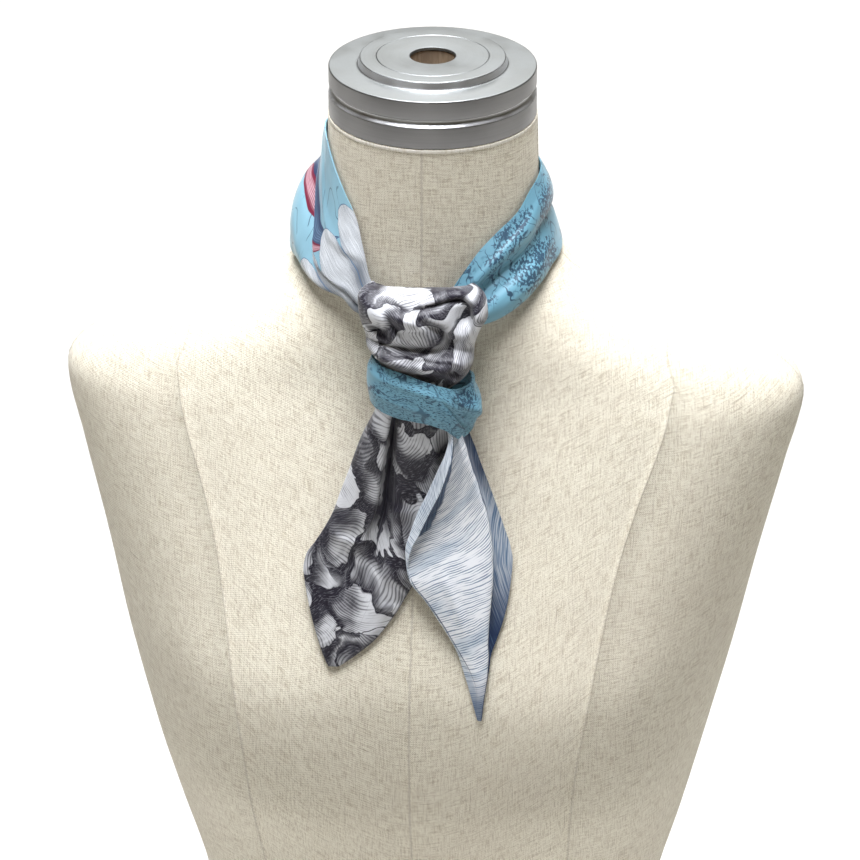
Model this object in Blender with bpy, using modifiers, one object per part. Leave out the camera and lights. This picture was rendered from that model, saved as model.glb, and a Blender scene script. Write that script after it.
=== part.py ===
"""A skinny silk scarf tied round the neck of a limbless dress form.

Metres, +Z up. The origin is the middle of the form's flat foot, and the form faces -Y, so the
wearer's right is at -X. The tables below are in millimetres, which is how a pattern cutter
measures; MM turns them into metres.
"""

import math

import bmesh
import bpy
from mathutils import Vector

MM = 0.001

# Driving sizes, in millimetres.
CAP_RADIUS = 50.0
CAP_FACE_Z = 700.0
CAP_SIDE = 24.0
NECK_TOP_Z = CAP_FACE_Z - CAP_SIDE
BOARD_THICK = 10.0
CLOTH_THICK = 1.0
SEAT_GAP = 0.3

# The dress form in level slices: half width, how far the front and back stand from the side
# seam's plane, and the power of the superellipse (2 is an ellipse, more is squarer).
FORM_COLUMNS = ("z", "half_width", "front", "back", "power")
FORM_ROWS = (
    (0, 166, 106, 112, 2.25),
    (60, 163, 104, 110, 2.25),
    (120, 145, 95, 95, 2.2),
    (165, 124, 86, 81, 2.2),
    (200, 116, 82, 76, 2.15),
    (240, 121, 85, 79, 2.15),
    (300, 135, 94, 87, 2.2),
    (350, 146, 102, 93, 2.25),
    (400, 157, 102, 98, 2.3),
    (450, 167, 92, 99, 2.35),
    (500, 178, 74, 94, 2.4),
    (535, 185, 60, 84, 2.3),
    (550, 176, 55, 79, 2.15),
    (565, 145, 52.5, 74, 2.05),
    (580, 104, 51.5, 69, 2),
    (601, 66, 51, 63, 2),
    (618, 56, 50.5, 57, 2),
    (635, 52, 50.2, 53, 2),
    (676, 50.3, 50, 50.5, 2),
)
BUST_X, BUST_Z = 84, 372
BUST_RISE, BUST_WIDE, BUST_TALL = 24, 46, 52

# The loop round the neck. turn is the angle from the front, growing by way of the wearer's
# right side. Down each section, from its top edge: a first crown, the edge of the lengthwise
# fold, the tuck beneath it, a second crown, and the foot against the form. A column in _w is a
# share of the way down, and one in _out is the distance from the form.
LOOP_COLUMNS = ("turn", "top_z", "foot_z", "top_out", "crown1_w", "crown1_out", "fold_w", "fold_out",
                "tuck_w", "tuck_out", "crown2_w", "crown2_out")
LOOP_ROWS = (
    (14, 601, 588, 5.0, 0.25, 8.0, 0.55, 8.6, 0.60, 8.0, 0.80, 8.0),
    (22, 608, 592, 4.4, 0.28, 8.3, 0.62, 9.6, 0.62, 8.0, 0.84, 9.0),
    (30, 623, 597, 3.0, 0.32, 8.0, 0.72, 10.5, 0.68, 7.8, 0.88, 9.5),
    (38, 637, 597, 1.6, 0.36, 7.0, 0.76, 10.5, 0.69, 7.0, 0.90, 9.5),
    (46, 645, 598, 1.3, 0.38, 6.0, 0.76, 10.0, 0.67, 6.2, 0.89, 9.5),
    (56, 654, 600, 1.3, 0.38, 4.8, 0.70, 9.0, 0.60, 5.2, 0.84, 10.5),
    (66, 662, 603, 1.3, 0.32, 3.4, 0.58, 7.5, 0.49, 4.4, 0.76, 13.0),
    (76, 667, 604, 1.3, 0.22, 2.4, 0.43, 5.4, 0.37, 3.4, 0.65, 15.0),
    (90, 668, 604, 1.3, 0.14, 2.0, 0.28, 3.2, 0.30, 3.6, 0.58, 14.0),
    (112, 661, 605, 1.3, 0.12, 2.2, 0.22, 3.4, 0.30, 4.6, 0.55, 10.5),
    (145, 651, 607, 1.4, 0.14, 3.0, 0.26, 4.6, 0.36, 5.2, 0.62, 8.5),
    (180, 647, 609, 1.4, 0.16, 3.8, 0.30, 5.2, 0.42, 4.9, 0.66, 8.0),
    (215, 646, 609, 1.4, 0.18, 4.4, 0.33, 5.4, 0.45, 4.6, 0.70, 6.5),
    (250, 647, 608, 1.4, 0.20, 5.0, 0.35, 5.6, 0.47, 3.8, 0.73, 5.0),
    (270, 648, 607, 1.4, 0.21, 5.4, 0.36, 5.6, 0.48, 3.4, 0.74, 4.6),
    (290, 645, 606, 1.4, 0.22, 6.0, 0.37, 5.6, 0.49, 3.4, 0.74, 5.6),
    (305, 637, 602, 1.4, 0.24, 6.8, 0.39, 5.8, 0.51, 3.8, 0.76, 8.2),
    (318, 631.5, 597, 1.5, 0.25, 7.2, 0.40, 5.8, 0.52, 4.4, 0.77, 10.0),
    (330, 624.5, 592, 2.2, 0.26, 7.6, 0.40, 6.2, 0.53, 5.2, 0.77, 10.6),
    (340, 615, 588, 3.6, 0.28, 8.0, 0.42, 7.0, 0.54, 6.2, 0.78, 10.0),
    (348, 605, 586, 4.6, 0.28, 8.0, 0.42, 7.6, 0.55, 7.2, 0.78, 9.0),
)
LOOP_STRETCHES = (("neck_wrap_right", 14, 118), ("neck_wrap_back", 118, 242), ("neck_wrap_left", 242, 348))

# The stretch that falls over the knot, from its hidden end against the neck, up over the crest
# and down the front. left_z and right_z are the section's height at its two ends; wrap is how
# far its sides turn back round the knot; crown, trough and roll shape its front.
DRAPE_COLUMNS = ("down", "left_z", "right_z", "left_x", "right_x", "front_y", "back_y", "crown",
                 "trough", "roll", "wrap")
DRAPE_ROWS = (
    (0.00, 596, 596, -9, 5, -54.6, -52.4, 0.0, 0.0, 0.0, 0.0),
    (0.07, 603, 603.5, -11, 7, -55.4, -53.2, 0.0, 0.0, 0.0, 0.0),
    (0.14, 607.5, 608.5, -17, 15, -58.5, -56.5, 0.0, 0.2, 0.0, 0.1),
    (0.20, 610.5, 611.5, -22, 24, -64.0, -60.0, 0.5, 1.0, 0.0, 0.35),
    (0.27, 611.5, 613, -25.5, 29, -71.0, -60.0, 1.0, 2.5, 0.5, 0.7),
    (0.36, 608, 609.5, -28, 32.5, -77.5, -60.0, 1.5, 6.5, 1.0, 1.0),
    (0.47, 601, 602, -27.5, 33.5, -81.0, -60.0, 2.0, 9.5, 2.0, 1.0),
    (0.59, 594.5, 594.5, -26, 30, -80.5, -60.0, 1.5, 6.5, 3.0, 1.0),
    (0.71, 589, 586, -24.5, 27, -80.5, -62.0, 2.0, 1.5, 2.0, 1.0),
    (0.83, 585, 577.5, -23.6, 27.4, -83.0, -63.0, 2.5, 0.0, 1.0, 1.0),
    (0.92, 580, 570.5, -18.9, 22.6, -82.5, -66.0, 1.4, 0.0, 1.0, 0.8),
    (1.00, 575.5, 565.5, -17.4, 18, -79.5, -68.0, 0.0, 0.0, 0.5, 0.6),
)
# The drape's largest folds: middle, half length, half width, slope in degrees, and how far
# each stands out (a negative rise is a hollow).
FOLD_COLUMNS = ("x", "z", "half_length", "half_width", "slope", "rise")
DRAPE_FOLDS = (
    (9, 579, 15, 5, -12, 3.0),
    (9, 589, 16, 3, -8, -2.8),
    (20, 574.5, 4, 3.5, 0, -4.5),
    (-19, 592, 9, 4, -20, -2.8),
    (-11, 601, 12, 4.5, 55, 1.8),
    (3, 600, 13, 3.5, 55, -2.2),
    (12, 600, 13, 5, 58, 1.6),
)

# The stretch wound round the knot, seen from above as x and y, from one hidden end behind the
# knot to the other by way of the front. bulge is how far its middle stands past its edges.
RING_COLUMNS = ("along", "x", "y", "top_z", "foot_z", "bulge")
RING_ROWS = (
    (0.00, -3, -59.3, 580, 562, 0.3),
    (0.09, -14, -60.2, 580, 560, 0.6),
    (0.17, -20.8, -65, 580, 558, 0.9),
    (0.25, -22.8, -73, 579.6, 557, 0.9),
    (0.34, -18.9, -81.5, 578.4, 555.0, 1.2),
    (0.44, -7, -86.8, 576.5, 552.5, 1.0),
    (0.54, 5, -88.2, 573, 551.2, 1.0),
    (0.64, 15.5, -86.8, 569.5, 547.2, 1.0),
    (0.72, 22.2, -82, 567.6, 541.0, 1.4),
    (0.80, 28, -74.5, 568.5, 545.0, 3.0),
    (0.88, 26, -66, 571, 550, 2.4),
    (0.94, 17.5, -60.2, 572.5, 553, 1.0),
    (1.00, 6, -59.3, 573, 554, 0.3),
)

# Each tail in level slices. A column in _x is a place across it and one in _out is how far the
# cloth stands from what it hangs in front of.
HANG_Y = -72.0
HANG_BLEND = 5.0
FRONT_COLUMNS = ("z", "left_x", "left_out", "lobe1_out", "valley_x", "valley_half", "valley_out",
                 "lobe2_out", "right_x", "right_out")
FRONT_ROWS = (
    (562, -16, 4.0, 9.8, -8, 1.6, 4.6, 12.2, 9, 6.0),
    (551, -20, 3.0, 10.6, -9.5, 1.6, 3.5, 12.2, 13, 5.0),
    (540, -25, 3.0, 11.0, -11, 1.9, 2.5, 12.0, 17, 5.0),
    (530, -28.6, 3.0, 11.0, -12, 2.2, 2.0, 10.8, 18, 4.0),
    (520, -31.8, 3.0, 11.0, -13, 2.6, 1.8, 9.6, 17.5, 3.0),
    (508, -36, 3.0, 11.0, -14, 3.2, 1.6, 9.2, 16, 2.4),
    (499, -39, 2.8, 10.5, -15, 4.0, 1.6, 8.8, 14, 2.0),
    (491, -43, 2.5, 9.0, -16.5, 4.8, 1.6, 8.3, 11.5, 1.8),
    (483, -47.8, 2.2, 6.5, -18, 5.0, 1.7, 8.0, 8.5, 1.7),
    (476, -52.3, 2.0, 5.0, -19, 4.5, 2.0, 7.5, 5.5, 1.6),
    (470, -53.4, 1.8, 4.4, -19, 4.0, 2.4, 6.8, 3.0, 1.6),
    (463, -52.4, 1.6, 4.2, -19, 3.5, 3.0, 4.8, -1.0, 1.5),
    (452, -49.5, 1.5, 4.2, -22, 3.0, 3.6, 3.8, -7.5, 1.4),
    (439, -45.4, 1.4, 3.6, -29, 3.0, 3.2, 2.8, -17, 1.4),
    (429, -41.5, 1.2, 2.2, -36, 2.0, 2.2, 2.0, -29.5, 1.2),
    (425.5, -39.6, 1.1, 1.5, -37.5, 1.0, 1.5, 1.5, -35, 1.1),
)
BACK_COLUMNS = ("z", "hem_x", "hem_out", "left_x", "left_out", "hollow_x", "hollow_out", "face_x",
                "face_out", "ridge_x", "ridge_out", "dip_x", "dip_out", "wing_x", "wing_out")
BACK_ROWS = (
    (556, 16.0, 9.6, 14.8, 8.4, 15.8, 6.0, 17.4, 6.0, 19.4, 6.4, 20.6, 4.8, 22.0, 2.8),
    (548, 17.4, 10.6, 15.8, 9.4, 17.0, 6.8, 18.8, 6.8, 21.0, 7.2, 22.4, 5.2, 23.8, 3.2),
    (541, 18.6, 12.0, 16.6, 10.8, 18.0, 7.8, 20.0, 8.0, 22.6, 8.8, 24.2, 5.8, 26.2, 3.8),
    (535, 18.6, 15.2, 15.4, 13.2, 17.8, 9.0, 20.6, 9.2, 24.6, 10.6, 26.2, 6.4, 28.6, 4.4),
    (528, 17.0, 17.0, 12.5, 14.6, 16.5, 9.8, 21.0, 9.6, 26.5, 11.6, 28.4, 6.0, 31.0, 4.6),
    (516, 13.0, 17.4, 7.7, 15.0, 13.0, 10.2, 21.0, 9.4, 30.0, 11.6, 31.8, 5.2, 35.4, 4.2),
    (505, 8.0, 17.0, 2.8, 14.6, 9.0, 10.4, 19.5, 9.4, 33.2, 11.4, 34.8, 4.6, 39.4, 3.8),
    (494, 3.2, 15.6, -1.0, 13.6, 4.5, 10.2, 18.0, 9.8, 35.6, 11.0, 37.0, 4.2, 43.5, 3.2),
    (485, -0.8, 13.6, -3.2, 11.8, -0.5, 9.2, 17.5, 10.0, 37.0, 10.4, 38.5, 3.8, 46.8, 2.6),
    (478, -2.0, 11.8, -2.6, 10.4, -0.6, 9.0, 17.5, 10.2, 37.4, 9.8, 38.9, 3.4, 48.2, 2.2),
    (471, -1.2, 9.6, -0.6, 9.2, 1.8, 9.2, 19.0, 10.0, 37.6, 9.0, 39.0, 3.0, 47.9, 1.9),
    (460, 7.0, 6.2, 7.6, 7.0, 10.0, 7.6, 22.5, 8.8, 37.2, 7.8, 38.5, 2.6, 46.8, 1.6),
    (450, 13.8, 3.8, 14.6, 5.2, 17.0, 6.2, 26.0, 7.6, 36.8, 6.8, 38.0, 2.4, 44.6, 1.5),
    (442, 19.0, 2.6, 20.0, 4.2, 22.0, 5.2, 29.0, 6.4, 36.9, 6.0, 38.0, 2.2, 42.0, 1.4),
    (434, 23.6, 1.8, 25.2, 3.4, 27.0, 4.4, 31.5, 5.2, 37.6, 4.8, 38.4, 2.0, 39.4, 1.3),
    (426, 26.6, 1.4, 30.2, 2.9, 31.4, 3.6, 34.0, 4.2, 37.6, 3.6, 38.2, 2.0, 38.6, 1.3),
    (419, 29.2, 1.3, 33.0, 2.5, 33.8, 3.0, 35.2, 3.2, 37.0, 2.6, 37.4, 1.8, 37.6, 1.2),
    (411, 31.8, 1.2, 34.0, 1.9, 34.4, 2.2, 35.2, 2.3, 36.2, 1.9, 36.4, 1.6, 36.6, 1.2),
    (403, 34.2, 1.1, 34.7, 1.3, 34.9, 1.4, 35.2, 1.4, 35.6, 1.3, 35.8, 1.2, 36.0, 1.1),
)

# How finely each piece is divided.
FORM_SEGMENTS = 32
TURNED_SEGMENTS = 36


# ---------------------------------------------------------------- curves through tables

def column_slopes(keys, values):
    """A slope at each row that never lets the curve overshoot its neighbours."""
    steps = [(values[i + 1] - values[i]) / (keys[i + 1] - keys[i]) for i in range(len(keys) - 1)]
    slopes = [steps[0]]
    for before, after in zip(steps, steps[1:]):
        same_way = before * after > 0
        slopes.append(2 * before * after / (before + after) if same_way else 0.0)
    return slopes + [steps[-1]]


def smooth_table(columns, rows):
    """Returns a function that gives every column, by name, at any value of the first column."""
    rows = sorted(rows)
    keys = [row[0] for row in rows]
    slopes = [column_slopes(keys, [row[k] for row in rows]) for k in range(1, len(columns))]

    def at(key):
        key = min(max(key, keys[0]), keys[-1])
        i = max(k for k in range(len(keys) - 1) if keys[k] <= key)
        span = keys[i + 1] - keys[i]
        t = (key - keys[i]) / span
        found = {columns[0]: key}
        for k, name in enumerate(columns[1:], start=1):
            a, b = rows[i][k], rows[i + 1][k]
            slope_a, slope_b = slopes[k - 1][i], slopes[k - 1][i + 1]
            found[name] = (
                (2 * t**3 - 3 * t**2 + 1) * a + (t**3 - 2 * t**2 + t) * span * slope_a
                + (3 * t**2 - 2 * t**3) * b + (t**3 - t**2) * span * slope_b
            )
        return found

    return at


def along_spline(points, t):
    """The point at t, from 0 to 1, on a Catmull-Rom curve through the given points."""
    reach = len(points) - 1
    i = min(int(t * reach), reach - 1)
    f = t * reach - i
    p0, p1 = points[max(i - 1, 0)], points[i]
    p2, p3 = points[i + 1], points[min(i + 2, reach)]
    return tuple(
        0.5 * (2 * b + (c - a) * f + (2 * a - 5 * b + 4 * c - d) * f**2 + (3 * b - a - 3 * c + d) * f**3)
        for a, b, c, d in zip(p0, p1, p2, p3)
    )


# ---------------------------------------------------------------- the form's surface

form_slice = smooth_table(FORM_COLUMNS, FORM_ROWS)


def bust_rise(x, z):
    return BUST_RISE * sum(
        math.exp(-((x - side * BUST_X) / BUST_WIDE) ** 2 / 2 - ((z - BUST_Z) / BUST_TALL) ** 2 / 2)
        for side in (-1, 1)
    )


def form_point(turn, z, out=0.0):
    """A point off the form's surface by out, at an angle from the front by the wearer's right."""
    cut = form_slice(z)
    angle = math.radians(turn)
    side, ahead = math.sin(angle), math.cos(angle)
    depth = cut["front"] if ahead > 0 else cut["back"]
    x = -(cut["half_width"] + out) * math.copysign(abs(side) ** (2 / cut["power"]), side)
    y = -(depth + out) * math.copysign(abs(ahead) ** (2 / cut["power"]), ahead)
    if ahead > 0:
        y -= bust_rise(x, z) * abs(ahead) ** (1 / cut["power"])
    return Vector((x, y, z))


def form_front_y(x, z):
    """How far forward the form's front is at x and z."""
    cut = form_slice(z)
    left = max(0.0, 1 - abs(x / cut["half_width"]) ** cut["power"])
    return -cut["front"] * left ** (1 / cut["power"]) - bust_rise(x, z) * math.sqrt(left)


# ---------------------------------------------------------------- scene and object helpers

def clear_scene():
    for old in list(bpy.data.objects):
        bpy.data.objects.remove(old)


def make_material(name, colour, roughness, metallic=0.0):
    material = bpy.data.materials.new(name)
    material.use_nodes = True
    shader = material.node_tree.nodes["Principled BSDF"]
    shader.inputs["Base Color"].default_value = (*colour, 1.0)
    shader.inputs["Roughness"].default_value = roughness
    shader.inputs["Metallic"].default_value = metallic
    return material


def new_object(name, data, material, collection):
    made = bpy.data.objects.new(name, data)
    made.data.materials.append(material)
    collection.objects.link(made)
    return made


def shade_round(mesh, sharpest=math.radians(40)):
    mesh.shade_smooth()
    mesh.set_sharp_from_angle(angle=sharpest)


def cloth_sheet(name, across, along, place, material, collection):
    """A sheet of cloth: a flat grid, moved by place(u, v), with the cloth's thickness."""
    bm = bmesh.new()
    bmesh.ops.create_grid(bm, x_segments=across, y_segments=along, size=0.5)
    for vert in bm.verts:
        vert.co = Vector(place(vert.co.x + 0.5, vert.co.y + 0.5)) * MM
    mesh = bpy.data.meshes.new(name)
    bm.to_mesh(mesh)
    bm.free()
    mesh.shade_smooth()
    cloth = new_object(name, mesh, material, collection)
    wall = cloth.modifiers.new("cloth", "SOLIDIFY")
    wall.thickness = CLOTH_THICK * MM
    wall.offset = 0.0
    return cloth


def turned_ring(name, profile, material, collection):
    """A ring turned from a closed profile of (radius, z)."""
    mesh = bpy.data.meshes.new(name)
    count = len(profile)
    mesh.from_pydata(
        [(radius * MM, 0.0, z * MM) for radius, z in profile],
        [(i, (i + 1) % count) for i in range(count)],
        [],
    )
    ring = new_object(name, mesh, material, collection)
    screw = ring.modifiers.new("turn", "SCREW")
    screw.steps = TURNED_SEGMENTS
    screw.render_steps = TURNED_SEGMENTS
    screw.use_merge_vertices = True
    screw.merge_threshold = 0.00001
    return ring


# ---------------------------------------------------------------- the dress form

def build_torso(material, collection):
    """The linen-covered torso and neck: level slices joined into one closed skin."""
    marks = sorted(row[0] for row in FORM_ROWS)
    levels = [BOARD_THICK + SEAT_GAP]
    for low, high in zip(marks, marks[1:]):
        levels += [(low + high) / 2, high] if high - low > 16 else [high]
    bm = bmesh.new()
    rings = []
    for z in levels:
        points = [form_point(360 * k / FORM_SEGMENTS, z) * MM for k in range(FORM_SEGMENTS)]
        rings.append([bm.verts.new(point) for point in points])
    for lower, upper in zip(rings, rings[1:]):
        for k in range(FORM_SEGMENTS):
            nxt = (k + 1) % FORM_SEGMENTS
            bm.faces.new((lower[k], lower[nxt], upper[nxt], upper[k]))
    bm.faces.new(rings[0])
    bm.faces.new(rings[-1])
    bmesh.ops.recalc_face_normals(bm, faces=bm.faces)
    mesh = bpy.data.meshes.new("form_torso")
    bm.to_mesh(mesh)
    bm.free()
    shade_round(mesh)
    return new_object("form_torso", mesh, material, collection)


def build_base_board(material, collection):
    """The flat board that closes the form below the hip."""
    inset = 3.0
    curve = bpy.data.curves.new("base_board", "CURVE")
    curve.dimensions = "2D"
    curve.fill_mode = "BOTH"
    curve.extrude = BOARD_THICK / 2 * MM
    outline = curve.splines.new("POLY")
    outline.points.add(FORM_SEGMENTS - 1)
    for k, point in enumerate(outline.points):
        edge = form_point(360 * k / FORM_SEGMENTS, 0, -inset)
        point.co = (edge.x * MM, edge.y * MM, 0.0, 1.0)
    outline.use_cyclic_u = True
    board = new_object("base_board", curve, material, collection)
    board.location.z = BOARD_THICK / 2 * MM
    return board


def build_neck_cap(metal, wood, collection):
    """The turned metal cap, with its raised middle, side groove and hole, and the wooden block
    that it covers."""
    hole, boss, boss_height = 11.5, 35.0, 4.0
    face, foot = CAP_FACE_Z, NECK_TOP_Z + SEAT_GAP
    groove_top, groove_foot, groove_radius = face - 7.8, face - 13.6, CAP_RADIUS - 1.7
    skin, edge = 1.6, 0.7
    wall = groove_radius - skin
    profile = (
        (hole, face + boss_height),
        (boss - edge, face + boss_height),
        (boss, face + boss_height - edge),
        (boss, face),
        (CAP_RADIUS - edge, face),
        (CAP_RADIUS, face - edge),
        (CAP_RADIUS, groove_top),
        (groove_radius, groove_top - 1.5),
        (groove_radius, groove_top - 2.6),
        (CAP_RADIUS, groove_foot),
        (CAP_RADIUS + 0.2, foot),
        (wall, foot),
        (wall, face - skin),
        (boss - skin, face - skin),
        (boss - skin, face + boss_height - skin),
        (hole, face + boss_height - skin),
    )
    turned_ring("neck_cap", profile, metal, collection)
    block_hole, block_wall = hole + 0.3, wall - SEAT_GAP
    block = (
        (block_hole, face + boss_height - skin - SEAT_GAP),
        (boss - skin - SEAT_GAP, face + boss_height - skin - SEAT_GAP),
        (boss - skin - SEAT_GAP, face - skin - SEAT_GAP),
        (block_wall, face - skin - SEAT_GAP),
        (block_wall, foot),
        (block_hole, foot),
    )
    turned_ring("neck_block", block, wood, collection)


# ---------------------------------------------------------------- the scarf

loop_section = smooth_table(LOOP_COLUMNS, LOOP_ROWS)
drape_section = smooth_table(DRAPE_COLUMNS, DRAPE_ROWS)
ring_section = smooth_table(RING_COLUMNS, RING_ROWS)
front_section = smooth_table(FRONT_COLUMNS, FRONT_ROWS)
back_section = smooth_table(BACK_COLUMNS, BACK_ROWS)


def loop_point(turn, w):
    """A point of the neck loop, w of the way down its section."""
    s = loop_section(turn)
    foot_out, under_w = 1.5, 0.95
    under_out = foot_out + 0.55 * (s["crown2_out"] - foot_out)
    down, out = along_spline(
        (
            (0.0, s["top_out"]),
            (s["crown1_w"], s["crown1_out"]),
            (s["fold_w"], s["fold_out"]),
            (s["tuck_w"], s["tuck_out"]),
            (s["crown2_w"], s["crown2_out"]),
            (under_w, under_out),
            (1.0, foot_out),
        ),
        w,
    )
    z = s["top_z"] + (s["foot_z"] - s["top_z"]) * down
    return form_point(turn, z, out)


def fold_rise(folds, x, z):
    """How far the largest folds lift the cloth at x and z."""
    rise = 0.0
    for row in folds:
        fold = dict(zip(FOLD_COLUMNS, row))
        slope = math.radians(fold["slope"])
        dx, dz = x - fold["x"], z - fold["z"]
        along = (dx * math.cos(slope) + dz * math.sin(slope)) / fold["half_length"]
        off = (dz * math.cos(slope) - dx * math.sin(slope)) / fold["half_width"]
        rise += fold["rise"] * math.exp(-(along**2 + off**2))
    return rise


def drape_point(u, v):
    """A point of the drape: u from its left side to its right, v from its hidden end to its foot."""
    s = drape_section(v)
    front, back = s["front_y"], s["back_y"]
    middle = (s["left_x"] + s["right_x"]) / 2
    half = (s["right_x"] - s["left_x"]) / 2
    side_y = front + 0.5 * (back - front)
    tucked, turned = 1 - 0.18 * s["wrap"], 1 - 0.08 * (1 - s["wrap"])
    share, y = along_spline(
        (
            (-tucked, back),
            (-turned, side_y),
            (-0.80, front + 0.12 * (back - front)),
            (-0.30, front - s["crown"]),
            (0.20, front - 0.6 * s["crown"]),
            (0.62, front + s["trough"]),
            (0.84, front + s["roll"]),
            (turned, side_y),
            (tucked, back),
        ),
        u,
    )
    x = middle + half * share
    z = s["left_z"] + (s["right_z"] - s["left_z"]) * (share + 1) / 2
    if v > 0.3:
        y -= fold_rise(DRAPE_FOLDS, x, z) * (1 - share**4) * min(1.0, (v - 0.3) / 0.08)
    return (x, y, z)


def ring_point(u, v):
    """A point of the knot's ring: u round the knot, v from its top edge to its foot."""
    s, ahead = ring_section(u), ring_section(min(u + 0.01, 1.0))
    behind = ring_section(max(u - 0.01, 0.0))
    run = Vector((ahead["x"] - behind["x"], ahead["y"] - behind["y"], 0)).normalized()
    outward = Vector((run.y, -run.x, 0))
    curl = 1.6
    _, out = along_spline(((0, -curl), (0, 0.3), (0, s["bulge"]), (0, 0.5 * s["bulge"]), (0, -0.4)), v)
    z = s["top_z"] + (s["foot_z"] - s["top_z"]) * v
    return Vector((s["x"], s["y"], z)) + outward * out


def tail_place(x, z, out):
    """A tail hangs clear below the knot, then comes to rest on the chest and follows it."""
    chest = form_front_y(x, z)
    apart = chest - HANG_Y
    base = (chest + HANG_Y - math.sqrt(apart**2 + HANG_BLEND**2)) / 2 + HANG_BLEND / 2
    base = min(base, chest)
    return (x, base - out, z)


def front_tail_point(u, v):
    """A point of the front tail: u across it, v from the knot to its tip."""
    top, tip = FRONT_ROWS[0][0], FRONT_ROWS[-1][0]
    z = top + (tip - top) * v
    s = front_section(z)
    edge_share = 0.12
    width1 = s["valley_x"] - s["valley_half"] - s["left_x"]
    width2 = s["right_x"] - s["valley_x"] - s["valley_half"]
    x, out = along_spline(
        (
            (s["left_x"] + edge_share * width1, s["left_out"]),
            (s["left_x"], 0.5 * (s["left_out"] + s["lobe1_out"])),
            (s["left_x"] + 0.3 * width1, s["lobe1_out"]),
            (s["valley_x"] - s["valley_half"] - 0.12 * width1, s["lobe1_out"]),
            (s["valley_x"] - s["valley_half"], 0.5 * (s["lobe1_out"] + s["valley_out"])),
            (s["valley_x"], s["valley_out"]),
            (s["valley_x"] + s["valley_half"], 0.5 * (s["lobe2_out"] + s["valley_out"])),
            (s["valley_x"] + s["valley_half"] + 0.14 * width2, s["lobe2_out"]),
            (s["right_x"] - 0.4 * width2, s["lobe2_out"] * 0.9),
            (s["right_x"], s["right_out"]),
        ),
        u,
    )
    return tail_place(x, z, out)


def back_tail_point(u, v):
    """A point of the back tail: u from its rolled hem to its wing, v from the knot to its tip."""
    top, tip = BACK_ROWS[0][0], BACK_ROWS[-1][0]
    z = top + (tip - top) * v
    s = back_section(z)
    x, out = along_spline(
        [(s[name + "_x"], s[name + "_out"]) for name in ("hem", "left", "hollow", "face", "ridge", "dip", "wing")],
        u,
    )
    return tail_place(x, z, out)


def build_scarf(silks, collection):
    wrap_across, degrees_a_step = 13, 5.0
    for name, start, end in LOOP_STRETCHES:
        gap = SEAT_GAP / CAP_RADIUS * 180 / math.pi
        first = start + (gap if start > LOOP_ROWS[0][0] else 0)
        last = end - (gap if end < LOOP_ROWS[-1][0] else 0)

        def place(u, v, first=first, last=last):
            return loop_point(first + (last - first) * v, u)

        cloth_sheet(name, wrap_across, round((last - first) / degrees_a_step), place, silks[name], collection)
    cloth_sheet("knot_drape", 24, 20, drape_point, silks["knot_drape"], collection)
    cloth_sheet("knot_ring", 34, 5, ring_point, silks["knot_ring"], collection)
    cloth_sheet("tail_front", 22, 22, front_tail_point, silks["tail_front"], collection)
    cloth_sheet("tail_back", 20, 26, back_tail_point, silks["tail_back"], collection)


def main():
    clear_scene()
    collection = bpy.data.collections.new("silk_scarf_on_dress_form")
    bpy.context.scene.collection.children.link(collection)
    linen = make_material("linen", (0.74, 0.68, 0.56), 0.85)
    metal = make_material("silver_metal", (0.60, 0.62, 0.61), 0.35, 1.0)
    wood = make_material("brown_wood", (0.26, 0.17, 0.10), 0.6)
    teal = make_material("silk_teal", (0.22, 0.42, 0.50), 0.35)
    grey = make_material("silk_grey", (0.45, 0.44, 0.46), 0.35)
    pale_blue = make_material("silk_pale_blue", (0.48, 0.58, 0.66), 0.35)
    silks = {
        "neck_wrap_right": teal,
        "neck_wrap_back": teal,
        "neck_wrap_left": teal,
        "knot_drape": grey,
        "knot_ring": teal,
        "tail_front": grey,
        "tail_back": pale_blue,
    }
    build_base_board(wood, collection)
    build_torso(linen, collection)
    build_neck_cap(metal, wood, collection)
    build_scarf(silks, collection)


main()
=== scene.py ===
import math
from types import SimpleNamespace

import bmesh
import bpy
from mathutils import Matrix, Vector, noise


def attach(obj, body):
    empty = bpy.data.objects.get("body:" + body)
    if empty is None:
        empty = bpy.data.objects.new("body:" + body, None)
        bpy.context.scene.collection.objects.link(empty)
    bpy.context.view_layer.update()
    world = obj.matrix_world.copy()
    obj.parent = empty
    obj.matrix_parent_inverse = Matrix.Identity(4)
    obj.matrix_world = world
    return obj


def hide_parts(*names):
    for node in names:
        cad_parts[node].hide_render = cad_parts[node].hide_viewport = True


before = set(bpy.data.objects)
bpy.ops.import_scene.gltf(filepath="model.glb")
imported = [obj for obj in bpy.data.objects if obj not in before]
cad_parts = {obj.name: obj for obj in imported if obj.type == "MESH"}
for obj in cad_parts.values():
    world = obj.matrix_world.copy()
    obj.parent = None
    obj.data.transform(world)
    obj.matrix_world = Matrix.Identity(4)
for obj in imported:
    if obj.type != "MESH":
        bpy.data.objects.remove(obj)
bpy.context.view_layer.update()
scene = bpy.context.scene

# ------------------------ the studio
# A plain pale floor that sweeps up at its far edge, a soft light overhead, a faint one in front,
# and lamps that light only the floor. The camera is above the form's left, and looks down on it.
EYE = Vector((0.15679, -1.49178, 1.28483))
EYE_TURN, EYE_DOWN = math.radians(-6.05), math.radians(27.56)
LENS, SENSOR = 140.0, 36.0


def look_way(turn, down):
    return Vector((math.sin(turn) * math.cos(down), math.cos(turn) * math.cos(down), -math.sin(down)))


def add_object(bm, name, sharp_degrees=None):
    """Puts a mesh in the scene under a name, smooth but for corners sharper than the angle given."""
    mesh = bpy.data.meshes.new(name)
    bm.to_mesh(mesh)
    bm.free()
    mesh.shade_smooth()
    if sharp_degrees:
        mesh.set_sharp_from_angle(angle=math.radians(sharp_degrees))
    thing = bpy.data.objects.new(name, mesh)
    scene.collection.objects.link(thing)
    return thing


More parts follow.
